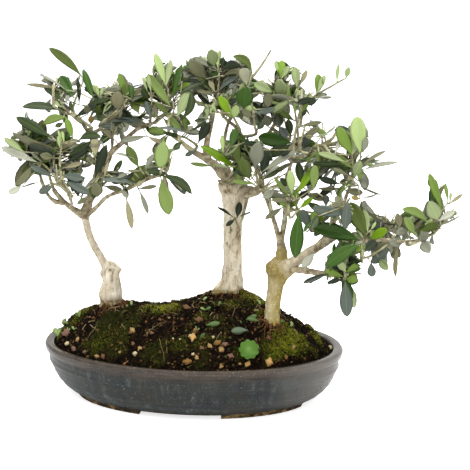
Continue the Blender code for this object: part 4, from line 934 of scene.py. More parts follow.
def turned_to(direction):
    """A turn that carries upright onto a direction."""
    return Matrix((*square_to(direction), direction)).transposed().to_4x4()


def point_on(line, share):
    """A point of a limb's middle line: a straight reach with a bow and a small crook in it."""
    rise = 4 * share * (1 - share)
    return line.start + line.reach * share + (line.bow + line.crook * math.sin(line.waves * share)) * rise


def heading_on(line, share):
    """The way a limb's middle line runs at a share of its length."""
    step = 0.002
    return (point_on(line, share + step) - point_on(line, share - step)).normalized()


def lines_of_limbs():
    """The middle line of every trunk and limb by its name, each worked out from its parent's."""
    still = Vector((0, 0, 0))
    lines = {t.name: Line(Vector(t.foot), Vector(t.reach), Vector(t.bow), still, 0) for t in TRUNKS}
    for number, limb in enumerate([STEM] + BOUGHS):
        start = point_on(lines[limb.parent], limb.leaves)
        reach = Vector(limb.reach)
        crook = swung(reach.normalized(), number * GOLDEN_TURN) * (reach.length * CROOK_SHARE)
        lines[limb.name] = Line(start, reach, Vector(limb.bow), crook, reach.length / CROOK_WAVE * math.pi)
    return lines


def frames_along(points, headings, radii):
    """A matrix for each ring of a tube, carried along it without a twist."""
    across = square_to(headings[0])[0]
    frames = []
    for point, heading, radius in zip(points, headings, radii):
        across = squared(across, heading)
        turned = Matrix((across, heading.cross(across), heading)).transposed().to_4x4()
        frames.append(Matrix.Translation(point) @ turned @ Matrix.Diagonal((radius, radius, 1, 1)))
    return frames


def roll_tube(bm, frames, sides, relief=None, layers=()):
    """Roll a new grid into a closed tube on its ring frames and add it to a shape. The relief of a
    point gives how far it stands out and the numbers for its layers."""
    rings = len(frames) - 1
    marks = [bm.verts.layers.float.get(name) or bm.verts.layers.float.new(name) for name in layers]
    made = bmesh.ops.create_grid(bm, x_segments=sides, y_segments=rings, size=0.5)["verts"]
    for vert in made:
        turn = round((vert.co.x + 0.5) * sides) / sides * math.tau
        ring = round((vert.co.y + 0.5) * rings)
        frame_at = frames[ring]
        place = frame_at @ Vector((math.cos(turn), math.sin(turn), 0))
        if relief:
            out = (place - frame_at.translation).normalized()
            stand, numbers = relief(place, out, ring / rings)
            place += out * stand
            for mark, number in zip(marks, numbers):
                vert[mark] = number
        vert.co = place
    bmesh.ops.remove_doubles(bm, verts=made, dist=0.001)
    alive = [vert for vert in made if vert.is_valid]
    rim = list({edge for vert in alive for edge in vert.link_edges if edge.is_boundary})
    bmesh.ops.holes_fill(bm, edges=rim, sides=0)
    return alive


def mesh_of(name, bm):
    """A mesh of a shape, which is used up."""
    mesh = bpy.data.meshes.new(name)
    bm.to_mesh(mesh)
    bm.free()
    return mesh


def finish_piece(name, bm, materials):
    """Make a shape in millimetres into a piece in the frame that rides on the root body."""
    bmesh.ops.recalc_face_normals(bm, faces=bm.faces)
    bmesh.ops.transform(bm, matrix=TO_FRAME, verts=bm.verts)
    mesh = mesh_of(name, bm)
    mesh.shade_smooth()
    return show(name, mesh, materials)


def put(name, data):
    """Put data into the scene as an object."""
    made = bpy.data.objects.new(name, data)
    bpy.context.scene.collection.objects.link(made)
    return made


def show(name, mesh, materials):
    """Put a finished mesh into the scene as a piece on the root body."""
    for material in materials:
        mesh.materials.append(material)
    piece = put(name, mesh)
    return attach(piece, "root")


def read_shape(bm):
    """A small shape's points, faces and slots as arrays for copies of it. The shape is used up."""
    bm.verts.index_update()
    points = np.array([vert.co[:] for vert in bm.verts])
    faces = [[vert.index for vert in face.verts] for face in bm.faces]
    slots = [face.material_index for face in bm.faces]
    bm.free()
    return points, faces, slots


def joined(name, copies, materials):
    """One piece of many small copies, each an array of points in millimetres, its faces and slots."""
    points = np.concatenate([copy[0] for copy in copies])
    faces, slots, start = [], [], 0
    for copy_points, copy_faces, copy_slots in copies:
        faces.extend([[index + start for index in face] for face in copy_faces])
        slots.extend(copy_slots)
        start += len(copy_points)
    mesh = bpy.data.meshes.new(name)
    mesh.from_pydata((points * MM + np.array(ORIGIN)).tolist(), [], faces)
    mesh.polygons.foreach_set("material_index", slots)
    mesh.shade_smooth()
    return show(name, mesh, materials)


def placed(shape, matrix, slot=None):
    """A copy of a shape's arrays moved by a matrix, all in one slot where one is given."""
    points, faces, slots = shape
    turned = points @ np.array(matrix.to_3x3()).T + np.array(matrix.translation)
    return turned, faces, slots if slot is None else [slot] * len(faces)


def turned_oval(profile, sides):
    """A closed solid turned round the pot's oval from its heights and shares."""
    bm = bmesh.new()
    frames = [Matrix.Translation((0, 0, height)) @ Matrix.Diagonal((share, share, 1, 1))
              for height, share in profile]
    roll_tube(bm, frames, sides)
    bmesh.ops.scale(bm, vec=(POT_LENGTH / 2, POT_WIDTH / 2, 1), verts=bm.verts)
    return bm


def rounded(profile, steps):
    """A smooth profile through a few heights and shares."""
    heights = [height for height, share in profile]
    shares = [share for height, share in profile]
    count = (len(profile) - 1) * steps
    return [(smooth_between(heights, k / count), smooth_between(shares, k / count))
            for k in range(count + 1)]


def box(sizes):
    """A plain box on the origin, to cut with."""
    bm = bmesh.new()
    bmesh.ops.create_cube(bm, size=1)
    bmesh.ops.scale(bm, vec=sizes, verts=bm.verts)
    bmesh.ops.transform(bm, matrix=TO_FRAME, verts=bm.verts)
    return bm


def make_pot():
    """The oval pot with its rolled rim, throwing lines and the low feet that its notches leave."""
    wall = rounded(POT_WALL, WALL_STEPS)
    inner = rounded([POT_WALL[-1]] + POT_INSIDE, INSIDE_STEPS)[1:]
    bm = turned_oval(UNDERSIDE + wall + inner, POT_SIDES)
    top = POT_WALL[-1][0]
    for vert in bm.verts:
        if vert.co.z < NOTCH_HEIGHT + 0.5:
            continue
        out = Vector((vert.co.x / POT_LENGTH, vert.co.y / POT_WIDTH, 0)).normalized()
        stand = waves(vert.co, POT_SWELL)
        if vert.co.z < top - LINES_BELOW_TOP:
            stand += math.sin(vert.co.z * LINE_TURN + waves(vert.co, LINE_DRIFT)) * LINE_DEPTH
        vert.co += out * stand
        if vert.co.z > top - RIM_BELOW_TOP:
            vert.co.z += waves(vert.co, RIM_WAVE)
    pot = finish_piece("pot_glazed", bm, [glazed_stoneware()])
    cutters = bpy.data.collections.new("notches")
    bpy.context.scene.collection.children.link(cutters)
    height = NOTCH_HEIGHT * 2
    for sizes in ((FRONT_NOTCH, POT_WIDTH, height), (POT_LENGTH, END_NOTCH, height)):
        cutters.objects.link(bpy.data.objects.new("notch", mesh_of("notch", box(sizes))))
    cut = pot.modifiers.new("notches", "BOOLEAN")
    cut.operand_type = "COLLECTION"
    cut.collection = cutters
    graph = bpy.context.evaluated_depsgraph_get()
    settled = bpy.data.meshes.new_from_object(pot.evaluated_get(graph))
    pot.modifiers.clear()
    pot.data = settled
    settled.set_sharp_from_angle(angle=math.radians(POT_CREASE))
    for cutter in list(cutters.objects):
        bpy.data.objects.remove(cutter)
    bpy.data.collections.remove(cutters)
    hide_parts("pot")
    return pot


def ground_at(x, y):
    """The height of the soil's surface, which rises from the pot's edge in a steep-sided mound."""
    edge_height, edge = SOIL_SIDE[-1]
    away = math.hypot(x / (POT_LENGTH / 2 * edge), y / (POT_WIDTH / 2 * edge))
    height = edge_height + MOUND_HEIGHT * max(0, 1 - away ** MOUND_POWER)
    for place, hump, breadth in MOUND_HUMPS:
        distance = math.hypot(x - place[0], y - place[1]) / breadth
        height += hump * math.exp(-distance * distance / 2)
    return height


def ground_seen(pixel):
    """The point of the smooth ground that shows at a pixel of the photo."""
    eye, ray = ray_of(pixel)
    point = eye + ray * (CAMERA_AWAY - POT_LENGTH)
    while point.z > ground_at(point.x, point.y):
        point += ray
    return point


def moss_at(place):
    """How far moss has taken hold at a place on the ground and how fresh it is, each from none to one."""
    cover, fresh = MOSS_BASE, 0
    for middle, breadth, strength, freshness in moss_spots():
        away = (place - middle).length / breadth
        share = math.exp(-away * away)
        cover += share * strength
        fresh += share * freshness
    cover += grain_at(Vector((place.x, place.y, 0)), MOSS_EDGE) * MOSS_EDGE.height
    cover += waves(Vector((place.x, place.y, 5)), MOSS_SPECKLE)
    start, spread = MOSS_BEHIND
    cover += max(0, place.y - start) / spread
    start, spread = FRESH_BEHIND
    return min(1, max(0, cover * MOSS_SHARPNESS)), min(1, fresh + max(0, place.y - start) / spread)


@cache
def moss_spots():
    """The middle of each patch of moss on the ground, with its breadth, strength and freshness."""
    return [(ground_seen((x, y)), *rest) for x, y, *rest in MOSS_PATCHES]


def make_soil():
    """The mossy soil: a clodded mound whose points know how much moss they carry."""
    edge_height, edge = SOIL_SIDE[-1]
    rings = [(edge_height + 1, edge * (1 - k / SOIL_RINGS)) for k in range(1, SOIL_RINGS)]
    bm = turned_oval(SOIL_SIDE + rings, SOIL_SIDES)
    moss, fresh = [bm.verts.layers.float.new(name) for name in SOIL_LAYERS]
    for vert in bm.verts:
        if vert.co.z > edge_height + 0.5:
            x, y = vert.co.x, vert.co.y
            level = Vector((x, y, ground_at(x, y)))
            cover, vert[fresh] = moss_at(level)
            clods = grain_at(level, CLODS) * CLODS.height + waves(level, CLOD_GRIT)
            level.z += clods * (CLODS_IN_MOSS if cover > 0.5 else 1.0) + cover * MOSS_RISE
            vert.co = level
            vert[moss] = cover
    soil = finish_piece("soil_surface", bm, [damp_soil()])
    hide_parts("soil")
    surface = bmesh.new()
    surface.from_mesh(soil.data)
    bmesh.ops.transform(surface, matrix=TO_FRAME.inverted(), verts=surface.verts)
    tree = BVHTree.FromBMesh(surface)
    surface.free()
    return tree


def onto_ground(ground, x, y):
    """The place and slope of the soil's surface under a point of the plan."""
    place, normal, _, _ = ground.ray_cast(Vector((x, y, 300)), -UP)
    return place, normal


def spot_in_pot(rng, edge):
    """An even random place inside the pot's oval."""
    turn = rng.uniform(0, math.tau)
    away = math.sqrt(rng.random()) * edge
    return math.cos(turn) * away * POT_LENGTH / 2, math.sin(turn) * away * POT_WIDTH / 2


def stood(place, normal, turn, sizes):
    """A matrix that stands a shape on a slope, turned about its own upright."""
    upright = Matrix.Translation(place) @ turned_to(normal)
    return upright @ Matrix.Rotation(turn, 4, "Z") @ Matrix.Diagonal((*sizes, 1))


def ball(detail, rough, seed):
    """A small round grain, knocked out of true."""
    bm = bmesh.new()
    bmesh.ops.create_icosphere(bm, subdivisions=detail, radius=1)
    for vert in bm.verts:
        vert.co *= 1 + noise.noise(vert.co * 1.3 + Vector((seed, 0, 0))) * rough
    return read_shape(bm)


def spike(sides):
    """A closed spike of unit height on a unit base, one shoot of moss."""
    bm = bmesh.new()
    bmesh.ops.create_cone(bm, segments=sides, radius1=1, radius2=0, depth=1, cap_ends=True)
    bmesh.ops.translate(bm, vec=(0, 0, 0.5), verts=bm.verts)
    return read_shape(bm)


def make_moss(ground):
    """Moss in patches, as many small leaning shoots that stand close together."""
    rng = random.Random(411)
    shoot = spike(3)
    copies = []
    while len(copies) < MOSS_SHOOTS:
        place, normal = onto_ground(ground, *spot_in_pot(rng, MOSS_REACH))
        cover, fresh = moss_at(place)
        if rng.random() > cover:
            continue
        lean = Vector((rng.uniform(-1, 1), rng.uniform(-1, 1), rng.uniform(-0.2, 0.6))) * MOSS_LEAN
        height = rng.uniform(*MOSS_HEIGHT) * (0.6 + 0.6 * cover)
        girth = rng.uniform(*MOSS_GIRTH)
        matrix = stood(place - normal * MOSS_SUNK, (normal + lean).normalized(), 0, (girth, girth, height))
        slot = rng.choices((0, 1, 2), (6 - 5 * fresh, 4, 6 * fresh))[0]
        copies.append(placed(shoot, matrix, slot))
    tones = [plain_finish(f"moss, {name}", colour, 0.85, 1.0, 0.1, EARTHY)
             for name, colour in MOSS_TONES.items()]
    joined("moss", copies, tones)


def make_crumbs(ground):
    """Crumbs of soil and bark on the open ground."""
    rng = random.Random(97)
    grains = [ball(1, 0.5, seed) for seed in range(6)]
    copies = []
    while len(copies) < CRUMBS:
        place, normal = onto_ground(ground, *spot_in_pot(rng, CRUMB_REACH))
        if rng.random() < moss_at(place)[0] * 0.65:
            continue
        size = rng.uniform(*CRUMB_SIZE) * rng.uniform(0.6, 1.2)
        sizes = (size * rng.uniform(0.8, 1.5), size, size * rng.uniform(0.5, 0.9))
        matrix = stood(place + normal * size * 0.2, normal, rng.uniform(0, math.tau), sizes)
        slot = rng.choices(range(len(CRUMB_WEIGHTS)), CRUMB_WEIGHTS)[0]
        copies.append(placed(rng.choice(grains), matrix, slot))
    tones = [plain_finish(f"soil crumb, {name}", colour, 0.95, 0.8, 0.1, EARTHY)
             for name, colour in CRUMB_TONES.items()]
    joined("soil_crumbs", copies, tones)


@cache
def camera_place():
    """The camera's place and the vectors that look ahead, right and up from it."""
    across, ahead = turn_of(CAMERA_TURN)
    level, rise = turn_of(CAMERA_RISE)
    back = Vector((ahead * level, -across * level, rise))
    right = Vector((across, ahead, 0))
    return CAMERA_TARGET + back * CAMERA_AWAY, -back, right, right.cross(-back)


def slant_of(pixel):
    """The way from the camera through a pixel of the photo, one millimetre deep."""
    _, ahead, right, up = camera_place()
    across, down = [(side - IMAGE_MIDDLE) / FOCUS_PIXELS for side in pixel]
    return ahead + right * across - up * down


def ray_of(pixel):
    """The camera's place and the way it looks through a pixel of the photo."""
    return camera_place()[0], slant_of(pixel).normalized()


def seen_at(pixel, depth):
    """The point that shows at a pixel of the photo at a depth from the camera."""
    return camera_place()[0] + slant_of(pixel) * depth


def pixel_of(point):
    """The pixel at which a point shows in the photo, and its depth from the camera."""
    eye, ahead, right, up = camera_place()
    away = point - eye
    depth = away.dot(ahead)
    x = IMAGE_MIDDLE + FOCUS_PIXELS * away.dot(right) / depth
    y = IMAGE_MIDDLE - FOCUS_PIXELS * away.dot(up) / depth
    return (x, y), depth


def make_granules(ground):
    """Granules of fired clay and pumice that lie on the soil, where the photo shows them and loose."""
    rng = random.Random(23)
    stones = [ball(2, 0.9, seed) for seed in range(5)]
    copies = []
    for x, y, size, slot in GRANULES:
        place, normal, _, _ = ground.ray_cast(*ray_of((x, y)))
        sizes = [size * side for side in GRANULE_SIDES]
        matrix = stood(place + normal * size * 0.12, normal, rng.uniform(0, math.tau), sizes)
        copies.append(placed(rng.choice(stones), matrix, slot))
    for _ in range(LOOSE_GRANULES):
        place, normal = onto_ground(ground, *spot_in_pot(rng, LOOSE_REACH))
        size = rng.uniform(*LOOSE_SIZE)
        sizes = [size * side for side in GRANULE_SIDES]
        matrix = stood(place + normal * size * 0.08, normal, rng.uniform(0, math.tau), sizes)
        stone = rng.choice(stones)
        copies.append(placed(stone, matrix, rng.choices(range(len(LOOSE_WEIGHTS)), LOOSE_WEIGHTS)[0]))
    tones = [plain_finish(f"clay granule {colour}", colour, 0.85, 1.2, 0.2) for colour in GRANULE_TONES]
    joined("granules", copies, tones)


def lie_on(ground, start, end, lift, sag, steps=6):
    """Points from one place of the plan to another that follow the soil, with a lift in their middle."""
    points = []
    for k in range(steps + 1):
        share = k / steps
        flat = start.lerp(end, share)
        across = Vector((-(end - start).y, (end - start).x)) * sag * 4 * share * (1 - share)
        place, normal = onto_ground(ground, flat.x + across.x, flat.y + across.y)
        if place is None:
            place, normal = points[-1] - UP, UP
        points.append(place + normal * (lift * 4 * share * (1 - share)))
    return points


def add_strand(bm, points, radii, slot, sides=4):
    """Add a thin strand through points to a shape."""
    shoot = shoot_through(points, (points[1] - points[0]).normalized(), radii, 0)
    before = len(bm.faces)
    roll_tube(bm, frames_along(shoot.points, shoot.headings, shoot.radii), sides)
    bm.faces.ensure_lookup_table()
    for face in bm.faces[before:]:
        face.material_index = slot


def make_fibres(ground):
    """Straws and dead shoots that lie over the soil, and the fine brown roots round each trunk's foot."""
    rng = random.Random(61)
    bm = bmesh.new()
    for number in range(FIBRES):
        start = Vector(spot_in_pot(rng, FIBRE_REACH))
        turn, length = rng.uniform(0, math.tau), rng.uniform(*FIBRE_LENGTH)
        end = start + Vector((math.cos(turn), math.sin(turn))) * length
        points = lie_on(ground, start, end, rng.uniform(*FIBRE_LIFT), rng.uniform(-FIBRE_SAG, FIBRE_SAG))
        radius = rng.uniform(*FIBRE_RADIUS)
        add_strand(bm, points, (radius, radius * 0.4), number % ROOT_TONE)
    for first, last, slot in STRAWS:
        ends = [ground_seen(pixel).xy for pixel in (first, last)]
        add_strand(bm, lie_on(ground, *ends, STRAW_LIFT, STRAW_SAG), STRAW_RADII, slot)
    for trunk in TRUNKS:
        foot = Vector(trunk.foot[:2])
        for _ in range(FINE_ROOTS):
            turn = rng.uniform(0, math.tau)
            way = Vector((math.cos(turn), math.sin(turn)))
            start = foot + way * trunk.girth[0] * rng.uniform(*ROOT_START)
            end = foot + way * (trunk.girth[0] + rng.uniform(*ROOT_LENGTH))
            points = lie_on(ground, start, end, rng.uniform(*ROOT_LIFT), rng.uniform(-ROOT_SAG, ROOT_SAG))
            points[0].z += rng.uniform(*ROOT_RISE)
            add_strand(bm, points, (rng.uniform(*ROOT_RADIUS), ROOT_TIP), ROOT_TONE)
    tones = [plain_finish(f"dry fibre {colour}", colour, 0.8, 1.0, 0.05, EARTHY) for colour in FIBRE_TONES]
    finish_piece("fibres", bm, tones)


def make_weeds(ground):
    """Seedlings and a scalloped round leaf that grow between the trees."""
    rng = random.Random(83)
    slot_of = {name: number for number, name in enumerate(WEED_TONES)}
    copies = []
    for first, last, width, tone in WEEDS:
        depth = pixel_of(ground_seen(((first[0] + last[0]) / 2, max(first[1], last[1]))))[1] - 3
        leaf, bend = leaf_shown(Shown(tone, *first, *last, width), depth, rng)
        copies.append((leaf_points(FAR_BLADE, leaf, bend), FAR_BLADE[1], [slot_of[tone]] * len(FAR_BLADE[1])))
    for _ in range(LOOSE_WEEDS):
        place, normal = onto_ground(ground, *spot_in_pot(rng, WEED_REACH))
        turn = rng.uniform(0, math.tau)
        for side in (0, math.pi):
            level = Vector((math.cos(turn + side), math.sin(turn + side), WEED_STANDS)).normalized()
            upright = squared(normal, level)
            leaf = Leaf(place + normal * 0.5, level, upright, rng.uniform(*WEED_LENGTH), 0, 0.5)
            bend = Bend(rng.uniform(0.4, 0.6), 0.2, 0.5, 0, 0, (0, 0, 0))
            slots = [slot_of[rng.choice(("weed", "pale weed"))]] * len(FAR_BLADE[1])
            copies.append((leaf_points(FAR_BLADE, leaf, bend), FAR_BLADE[1], slots))
    middle, radius = ROUND_WEED
    point = ground_seen((middle[0], middle[1] + radius))
    depth = pixel_of(point)[1] - 6
    towards = (camera_place()[0] - point).normalized()
    turned = turned_to((towards + UP * 0.3).normalized())
    turned.translation = seen_at(middle, depth)
    bm = bmesh.new()
    bmesh.ops.create_circle(bm, cap_ends=True, segments=SCALLOPS * SCALLOP_STEPS, radius=1)
    for vert in bm.verts:
        away = vert.co.length
        lobe = math.cos(math.atan2(vert.co.y, vert.co.x) * SCALLOPS / 2)
        vert.co *= radius * (1 + SCALLOP_DEPTH * away * (abs(lobe) - 0.6))
        vert.co.z += SCALLOP_RISE * lobe ** 2 * away ** 2 - away * away * ROUND_DISH
    bmesh.ops.solidify(bm, geom=bm.faces[:], thickness=ROUND_THICK)
    disc = read_shape(bm)
    points, faces, _ = placed(disc, turned)
    # Solidify makes the rim's faces in no fixed order, so the faces are sorted by their points.
    faces = sorted(faces, key=sorted)
    # The part of the round leaf past the split takes the lighter tone: painted light on that side.
    split = ROUND_PAINTED_LIGHT_FROM * radius
    halves = [slot_of["round weed" if np.mean(disc[0][face, 0]) < split else "round weed light"]
              for face in faces]
    copies.append((points, faces, halves))
    tones = [plain_finish(name, colour, 0.5, 1.4, 0.12) for name, colour in WEED_TONES.items()]
    joined("weeds", copies, tones)


def blade(rows, cols):
    """A leaf's closed shell as a grid above and below that meet at its outline: x is a share of the half
    width, y a share of the length and z of the thickness. Slot 0 is the upper side, 1 the underside and
    2 the midrib."""
    bm = bmesh.new()
    bmesh.ops.create_grid(bm, x_segments=len(cols) - 1, y_segments=rows, size=0.5)
    middle = (len(cols) - 1) / 2
    for vert in bm.verts:
        column = round((vert.co.x + 0.5) * (len(cols) - 1))
        vert.co = Vector((cols[column], vert.co.y + 0.5, 0 if column in (0, len(cols) - 1) else 1))
    for face in bm.faces:
        centre = face.calc_center_median()
        face.material_index = 2 if abs(centre.x) < cols[int(middle) + 1] else 0
    above = list(bm.verts)
    below = bmesh.ops.duplicate(bm, geom=list(bm.verts) + list(bm.edges) + list(bm.faces))["geom"]
    under = [part for part in below if isinstance(part, bmesh.types.BMFace)]
    bmesh.ops.reverse_faces(bm, faces=under)
    for face in under:
        face.material_index = 1
    for vert in [part for part in below if isinstance(part, bmesh.types.BMVert)]:
        vert.co.z = -vert.co.z
    for vert in bm.verts:
        if vert.co.y < 0.001 or vert.co.y > 0.999:
            vert.co.z = 0
    bmesh.ops.remove_doubles(bm, verts=bm.verts, dist=0.0001)
    bmesh.ops.recalc_face_normals(bm, faces=bm.faces)
    return read_shape(bm)


NEAR_BLADE = blade(9, (-1, -0.6, -0.1, 0.1, 0.6, 1))
FAR_BLADE = blade(7, (-1, -0.1, 0.1, 1))


def leaf_outline(along):
    """The half width of a leaf as a share of its greatest, which lies a little past its middle."""
    done = np.clip((along - PETIOLE) / (1 - PETIOLE), 0, 1)
    skew, fullness = OUTLINE_POWERS
    return np.sin(math.pi * done ** skew) ** fullness


def leaf_points(shape, leaf, bend):
    """A leaf's points: its outline swells from a short stalk to past its middle and ends bluntly, its
    sides fold up from the midrib, and it curls and twists along its length. Its tip keeps its place."""
    shares = shape[0]
    across, along, layer = shares[:, 0], shares[:, 1], shares[:, 2]
    along = along - ROWS_TO_ENDS * np.sin(2 * math.pi * along)
    half = bend.width * leaf.length / 2 * leaf_outline(along)
    half = np.maximum(half, np.where(along < 0.5, STALK_HALF, TIP_HALF))
    inner = np.abs(across) < 0.2
    side = np.where(inner, np.sign(across) * np.minimum(RIB_HALF, half * 0.5), across * half)
    thick = leaf.length * LEAF_THICK * np.where(inner, 1.1, 0.8)
    waving = bend.wave * np.sin(along * EDGE_WAVES) * across ** 2
    lift = bend.fold * np.abs(side) + layer * thick / 2 + waving
    turn = bend.twist * (along - 0.3)
    turned_side = side * np.cos(turn) - lift * np.sin(turn)
    turned_lift = side * np.sin(turn) + lift * np.cos(turn)
    curl = bend.curl if abs(bend.curl) > LEAST_CURL else LEAST_CURL
    at = curl * (along - 0.5)
    reach = leaf.length / (2 * math.sin(curl / 2))
    forward = (np.sin(at) + math.sin(curl / 2)) * reach + turned_lift * np.sin(at)
    rise = (np.cos(at) - math.cos(curl / 2)) * reach + turned_lift * np.cos(at)
    axes = np.array([leaf.direction.cross(leaf.normal), leaf.direction, leaf.normal])
    aside = np.outer(4 * along * (1 - along), np.array(bend.bow))
    return np.stack([turned_side, forward, rise], 1) @ axes + aside + np.array(leaf.root)


def place_on(shoot, share):
    """A point of a shoot and the way the shoot runs there."""
    legs = len(shoot.points) - 1
    leg = min(int(share * legs), legs - 1)
    near, far = shoot.points[leg:leg + 2]
    return near.lerp(far, share * legs - leg), (far - near).normalized()


def shoot_through(points, leaving, radii, order, parent=0):
    """A tapering shoot through its points, its first ring square to the way it leaves."""
    legs = len(points) - 1
    headings = [leaving]
    headings += [(points[k + 1] - points[k - 1]).normalized() for k in range(1, legs)]
    headings.append((points[-1] - points[-2]).normalized())
    widths = [between(radii, k / legs) for k in range(legs + 1)]
    return Shoot(points, headings, widths, order, parent)


def shoots_of(mass, lines, rng):
    """The stem of a mass and the twigs that leave it by turns, as far as its tip."""
    line = lines[mass.limb]
    reach = Vector(mass.reach)
    if mass.leaves < 1:
        base = point_on(line, mass.leaves)
        leaving = reach.normalized()
    else:
        leaving = heading_on(line, 1)
        base = point_on(line, 1) + leaving * GAP
    onward, along = STEM_MIDDLE
    middle = base + leaving * (reach.length * onward) + reach * along
    tip = base + reach
    shoots = [shoot_through([base, middle, tip], leaving, STEM_RADII, 0)]
    axis = (tip - middle).normalized()
    turn = rng.uniform(0, 360)
    for k in range(mass.twigs):
        share = (k + 0.5) / mass.twigs
        root = middle.lerp(tip, share)
        sideways = swung(axis, turn + k * GOLDEN_TURN + rng.uniform(*TWIG_TURN_RANGE))
        spread = TWIG_SPREAD * rng.uniform(*TWIG_SPREAD_RANGE)
        out, off = turn_of(spread * between(TWIG_SPREAD_TAPER, share))
        direction = (axis * out + sideways * off + UP * TWIG_LIFT).normalized()
        length = mass.twig * rng.uniform(*TWIG_LENGTH_RANGE) * between(TWIG_LENGTH_TAPER, share)
        shoots.append(shoot_through([root, root + direction * length], direction, TWIG_RADII, 1))
    return shoots


def twiglets_of(shoots, rng):
    """Finer shoots that leave each twig by turns."""
    finer = []
    for parent, shoot in enumerate(shoots[1:], 1):
        length = (shoot.points[-1] - shoot.points[0]).length * TWIGLET_SHARE
        turn = rng.uniform(0, 360)
        for k in range(TWIGLETS):
            root, axis = place_on(shoot, (k + 0.7) / (TWIGLETS + 0.6))
            sideways = swung(axis, turn + k * GOLDEN_TURN)
            out, off = turn_of(rng.uniform(*TWIGLET_SPREAD))
            direction = (axis * out + sideways * off + UP * TWIG_LIFT).normalized()
            reach = direction * length * rng.uniform(*TWIGLET_LENGTH)
            bow = square_to(direction)[0] * rng.uniform(-TWIGLET_BOW, TWIGLET_BOW)
            points = [root, root + reach * 0.5 + bow, root + reach]
            finer.append(shoot_through(points, direction, TWIGLET_RADII, 2, parent))
    return finer


def leaf_on(root, axis, around, spread, length, shoot, share, rng):
    """A leaf that stands off its shoot's axis at a spread, turned around it."""
    out, off = turn_of(spread)
    radial = swung(axis, around)
    direction = (axis * out + radial * off - UP * rng.uniform(0, LEAF_DROOP)).normalized()
    normal = squared(axis * off - radial * out, direction)
    roll = math.radians(rng.uniform(-LEAF_ROLL, LEAF_ROLL))
    return Leaf(root, direction, Matrix.Rotation(roll, 3, direction) @ normal, length, shoot, share)


def leaves_of(mass, shoots, rng):
    """Opposite pairs along the outer part of each shoot, each pair a quarter turn from the last."""
    leaves = []
    for number, shoot in enumerate(shoots):
        first = FIRST_LEAF[min(shoot.order, 1)]
        length = (shoot.points[-1] - shoot.points[0]).length
        pairs = max(2, round(length * (1 - first) / PAIR_GAP) + 1)
        turn = rng.uniform(0, 360)
        full = mass.leaf * (TWIGLET_LEAF if shoot.order == 2 else 1)
        for pair in range(pairs):
            done = pair / (pairs - 1)
            share = between((first, LAST_LEAF), done) + rng.uniform(-0.08, 0)
            root, axis = place_on(shoot, share)
            spread = between(LEAF_SPREAD_TAPER, done)
            size = full * (1 - (1 - TIP_LEAF) * done * done)
            for side in (0, 180):
                around = turn + pair * PAIR_TURN + side + rng.uniform(*LEAF_TURN_RANGE)
                opened = spread + rng.uniform(*LEAF_SPREAD_RANGE)
                long = size * rng.uniform(*LEAF_LENGTH_RANGE)
                leaves.append(leaf_on(root, axis, around, opened, long, number, share, rng))
    return leaves


def inside(point, centre, space):
    """Whether a point lies in a mass's ellipsoid."""
    away = point - centre
    return (away.x / space[0]) ** 2 + (away.y / space[1]) ** 2 + (away.z / space[2]) ** 2 <= 1


def tone_of(rng, age):
    """A tone for a leaf's upper side, drawn by the age of its shoot."""
    names, weights = zip(*TONE_SHARES[age])
    return rng.choices(names, weights)[0]


class View:
    """What the photo shows of the leaves that are placed by it: the depth of the nearest at each pixel."""

    def __init__(self):
        self.depth = np.full((IMAGE_SIDE, IMAGE_SIDE), np.inf)

    def cover(self, base, tip, width, depth):
        """Cover the pixels of one leaf."""
        rows, columns = np.mgrid[0:IMAGE_SIDE, 0:IMAGE_SIDE] + 0.5
        along = np.array([tip[0] - base[0], tip[1] - base[1]])
        length = np.hypot(*along)
        done = ((columns - base[0]) * along[0] + (rows - base[1]) * along[1]) / length ** 2
        aside = np.abs((columns - base[0]) * along[1] - (rows - base[1]) * along[0]) / length
        on_leaf = (done > 0) & (done < 1) & (aside < width / 2 * leaf_outline(done) + VIEW_MARGIN)
        self.depth[on_leaf] = np.minimum(self.depth[on_leaf], depth)

    def close(self):
        """Close the places that inner leaves fill in the photo and the narrow gaps between leaves."""
        rows, columns = np.mgrid[0:IMAGE_SIDE, 0:IMAGE_SIDE] + 0.5
        near = least_near(self.depth, NEAR_REACH)
        for reach, places in CLOSED_PLACES.items():
            for x, y in places:
                here = (np.hypot(columns - x, rows - y) < reach) & np.isinf(self.depth)
                self.depth[here] = near[here]
        spread = least_near(self.depth, GAP_CLOSED)
        shut = least_near(np.where(np.isfinite(spread), 0.0, -1.0), GAP_CLOSED) == 0
        gaps = shut & np.isinf(self.depth)
        self.depth[gaps] = spread[gaps]
        for reach, places in OPEN_PLACES.items():
            for x, y in places:
                self.depth[np.hypot(columns - x, rows - y) < reach] = np.inf

    def allows(self, points, share):
        """Whether at least a share of points lies behind leaves that the photo shows."""
        eye, ahead, right, up = [np.array(part) for part in camera_place()]
        away = np.array(points) - eye
        depth = away @ ahead
        columns = (IMAGE_MIDDLE + FOCUS_PIXELS * (away @ right) / depth).astype(int)
        rows = (IMAGE_MIDDLE - FOCUS_PIXELS * (away @ up) / depth).astype(int)
        in_view = (columns >= 0) & (columns < IMAGE_SIDE) & (rows >= 0) & (rows < IMAGE_SIDE)
        near = self.depth[np.clip(rows, 0, IMAGE_SIDE - 1), np.clip(columns, 0, IMAGE_SIDE - 1)]
        return np.sum(in_view & (near < depth)) >= len(points) * share


def least_near(values, reach):
    """The least value within a reach of each pixel."""
    least = values.copy()
    for down in range(-reach, reach + 1):
        for over in range(-reach, reach + 1):
            if down * down + over * over <= reach * reach + 1:
                least = np.minimum(least, np.roll(values, (down, over), (0, 1)))
    return least


def outline_of(leaf, width):
    """A few points on a leaf's midline and edges."""
    side = leaf.direction.cross(leaf.normal) * (leaf.length * width / 2)
    points = []
    for share, open_share in ((0.3, 0.6), (0.6, 1.0), (0.85, 0.7)):
        middle = leaf.root + leaf.direction * (leaf.length * share)
        points += [middle, middle + side * open_share, middle - side * open_share]
    return points + [leaf.root + leaf.direction * leaf.length]


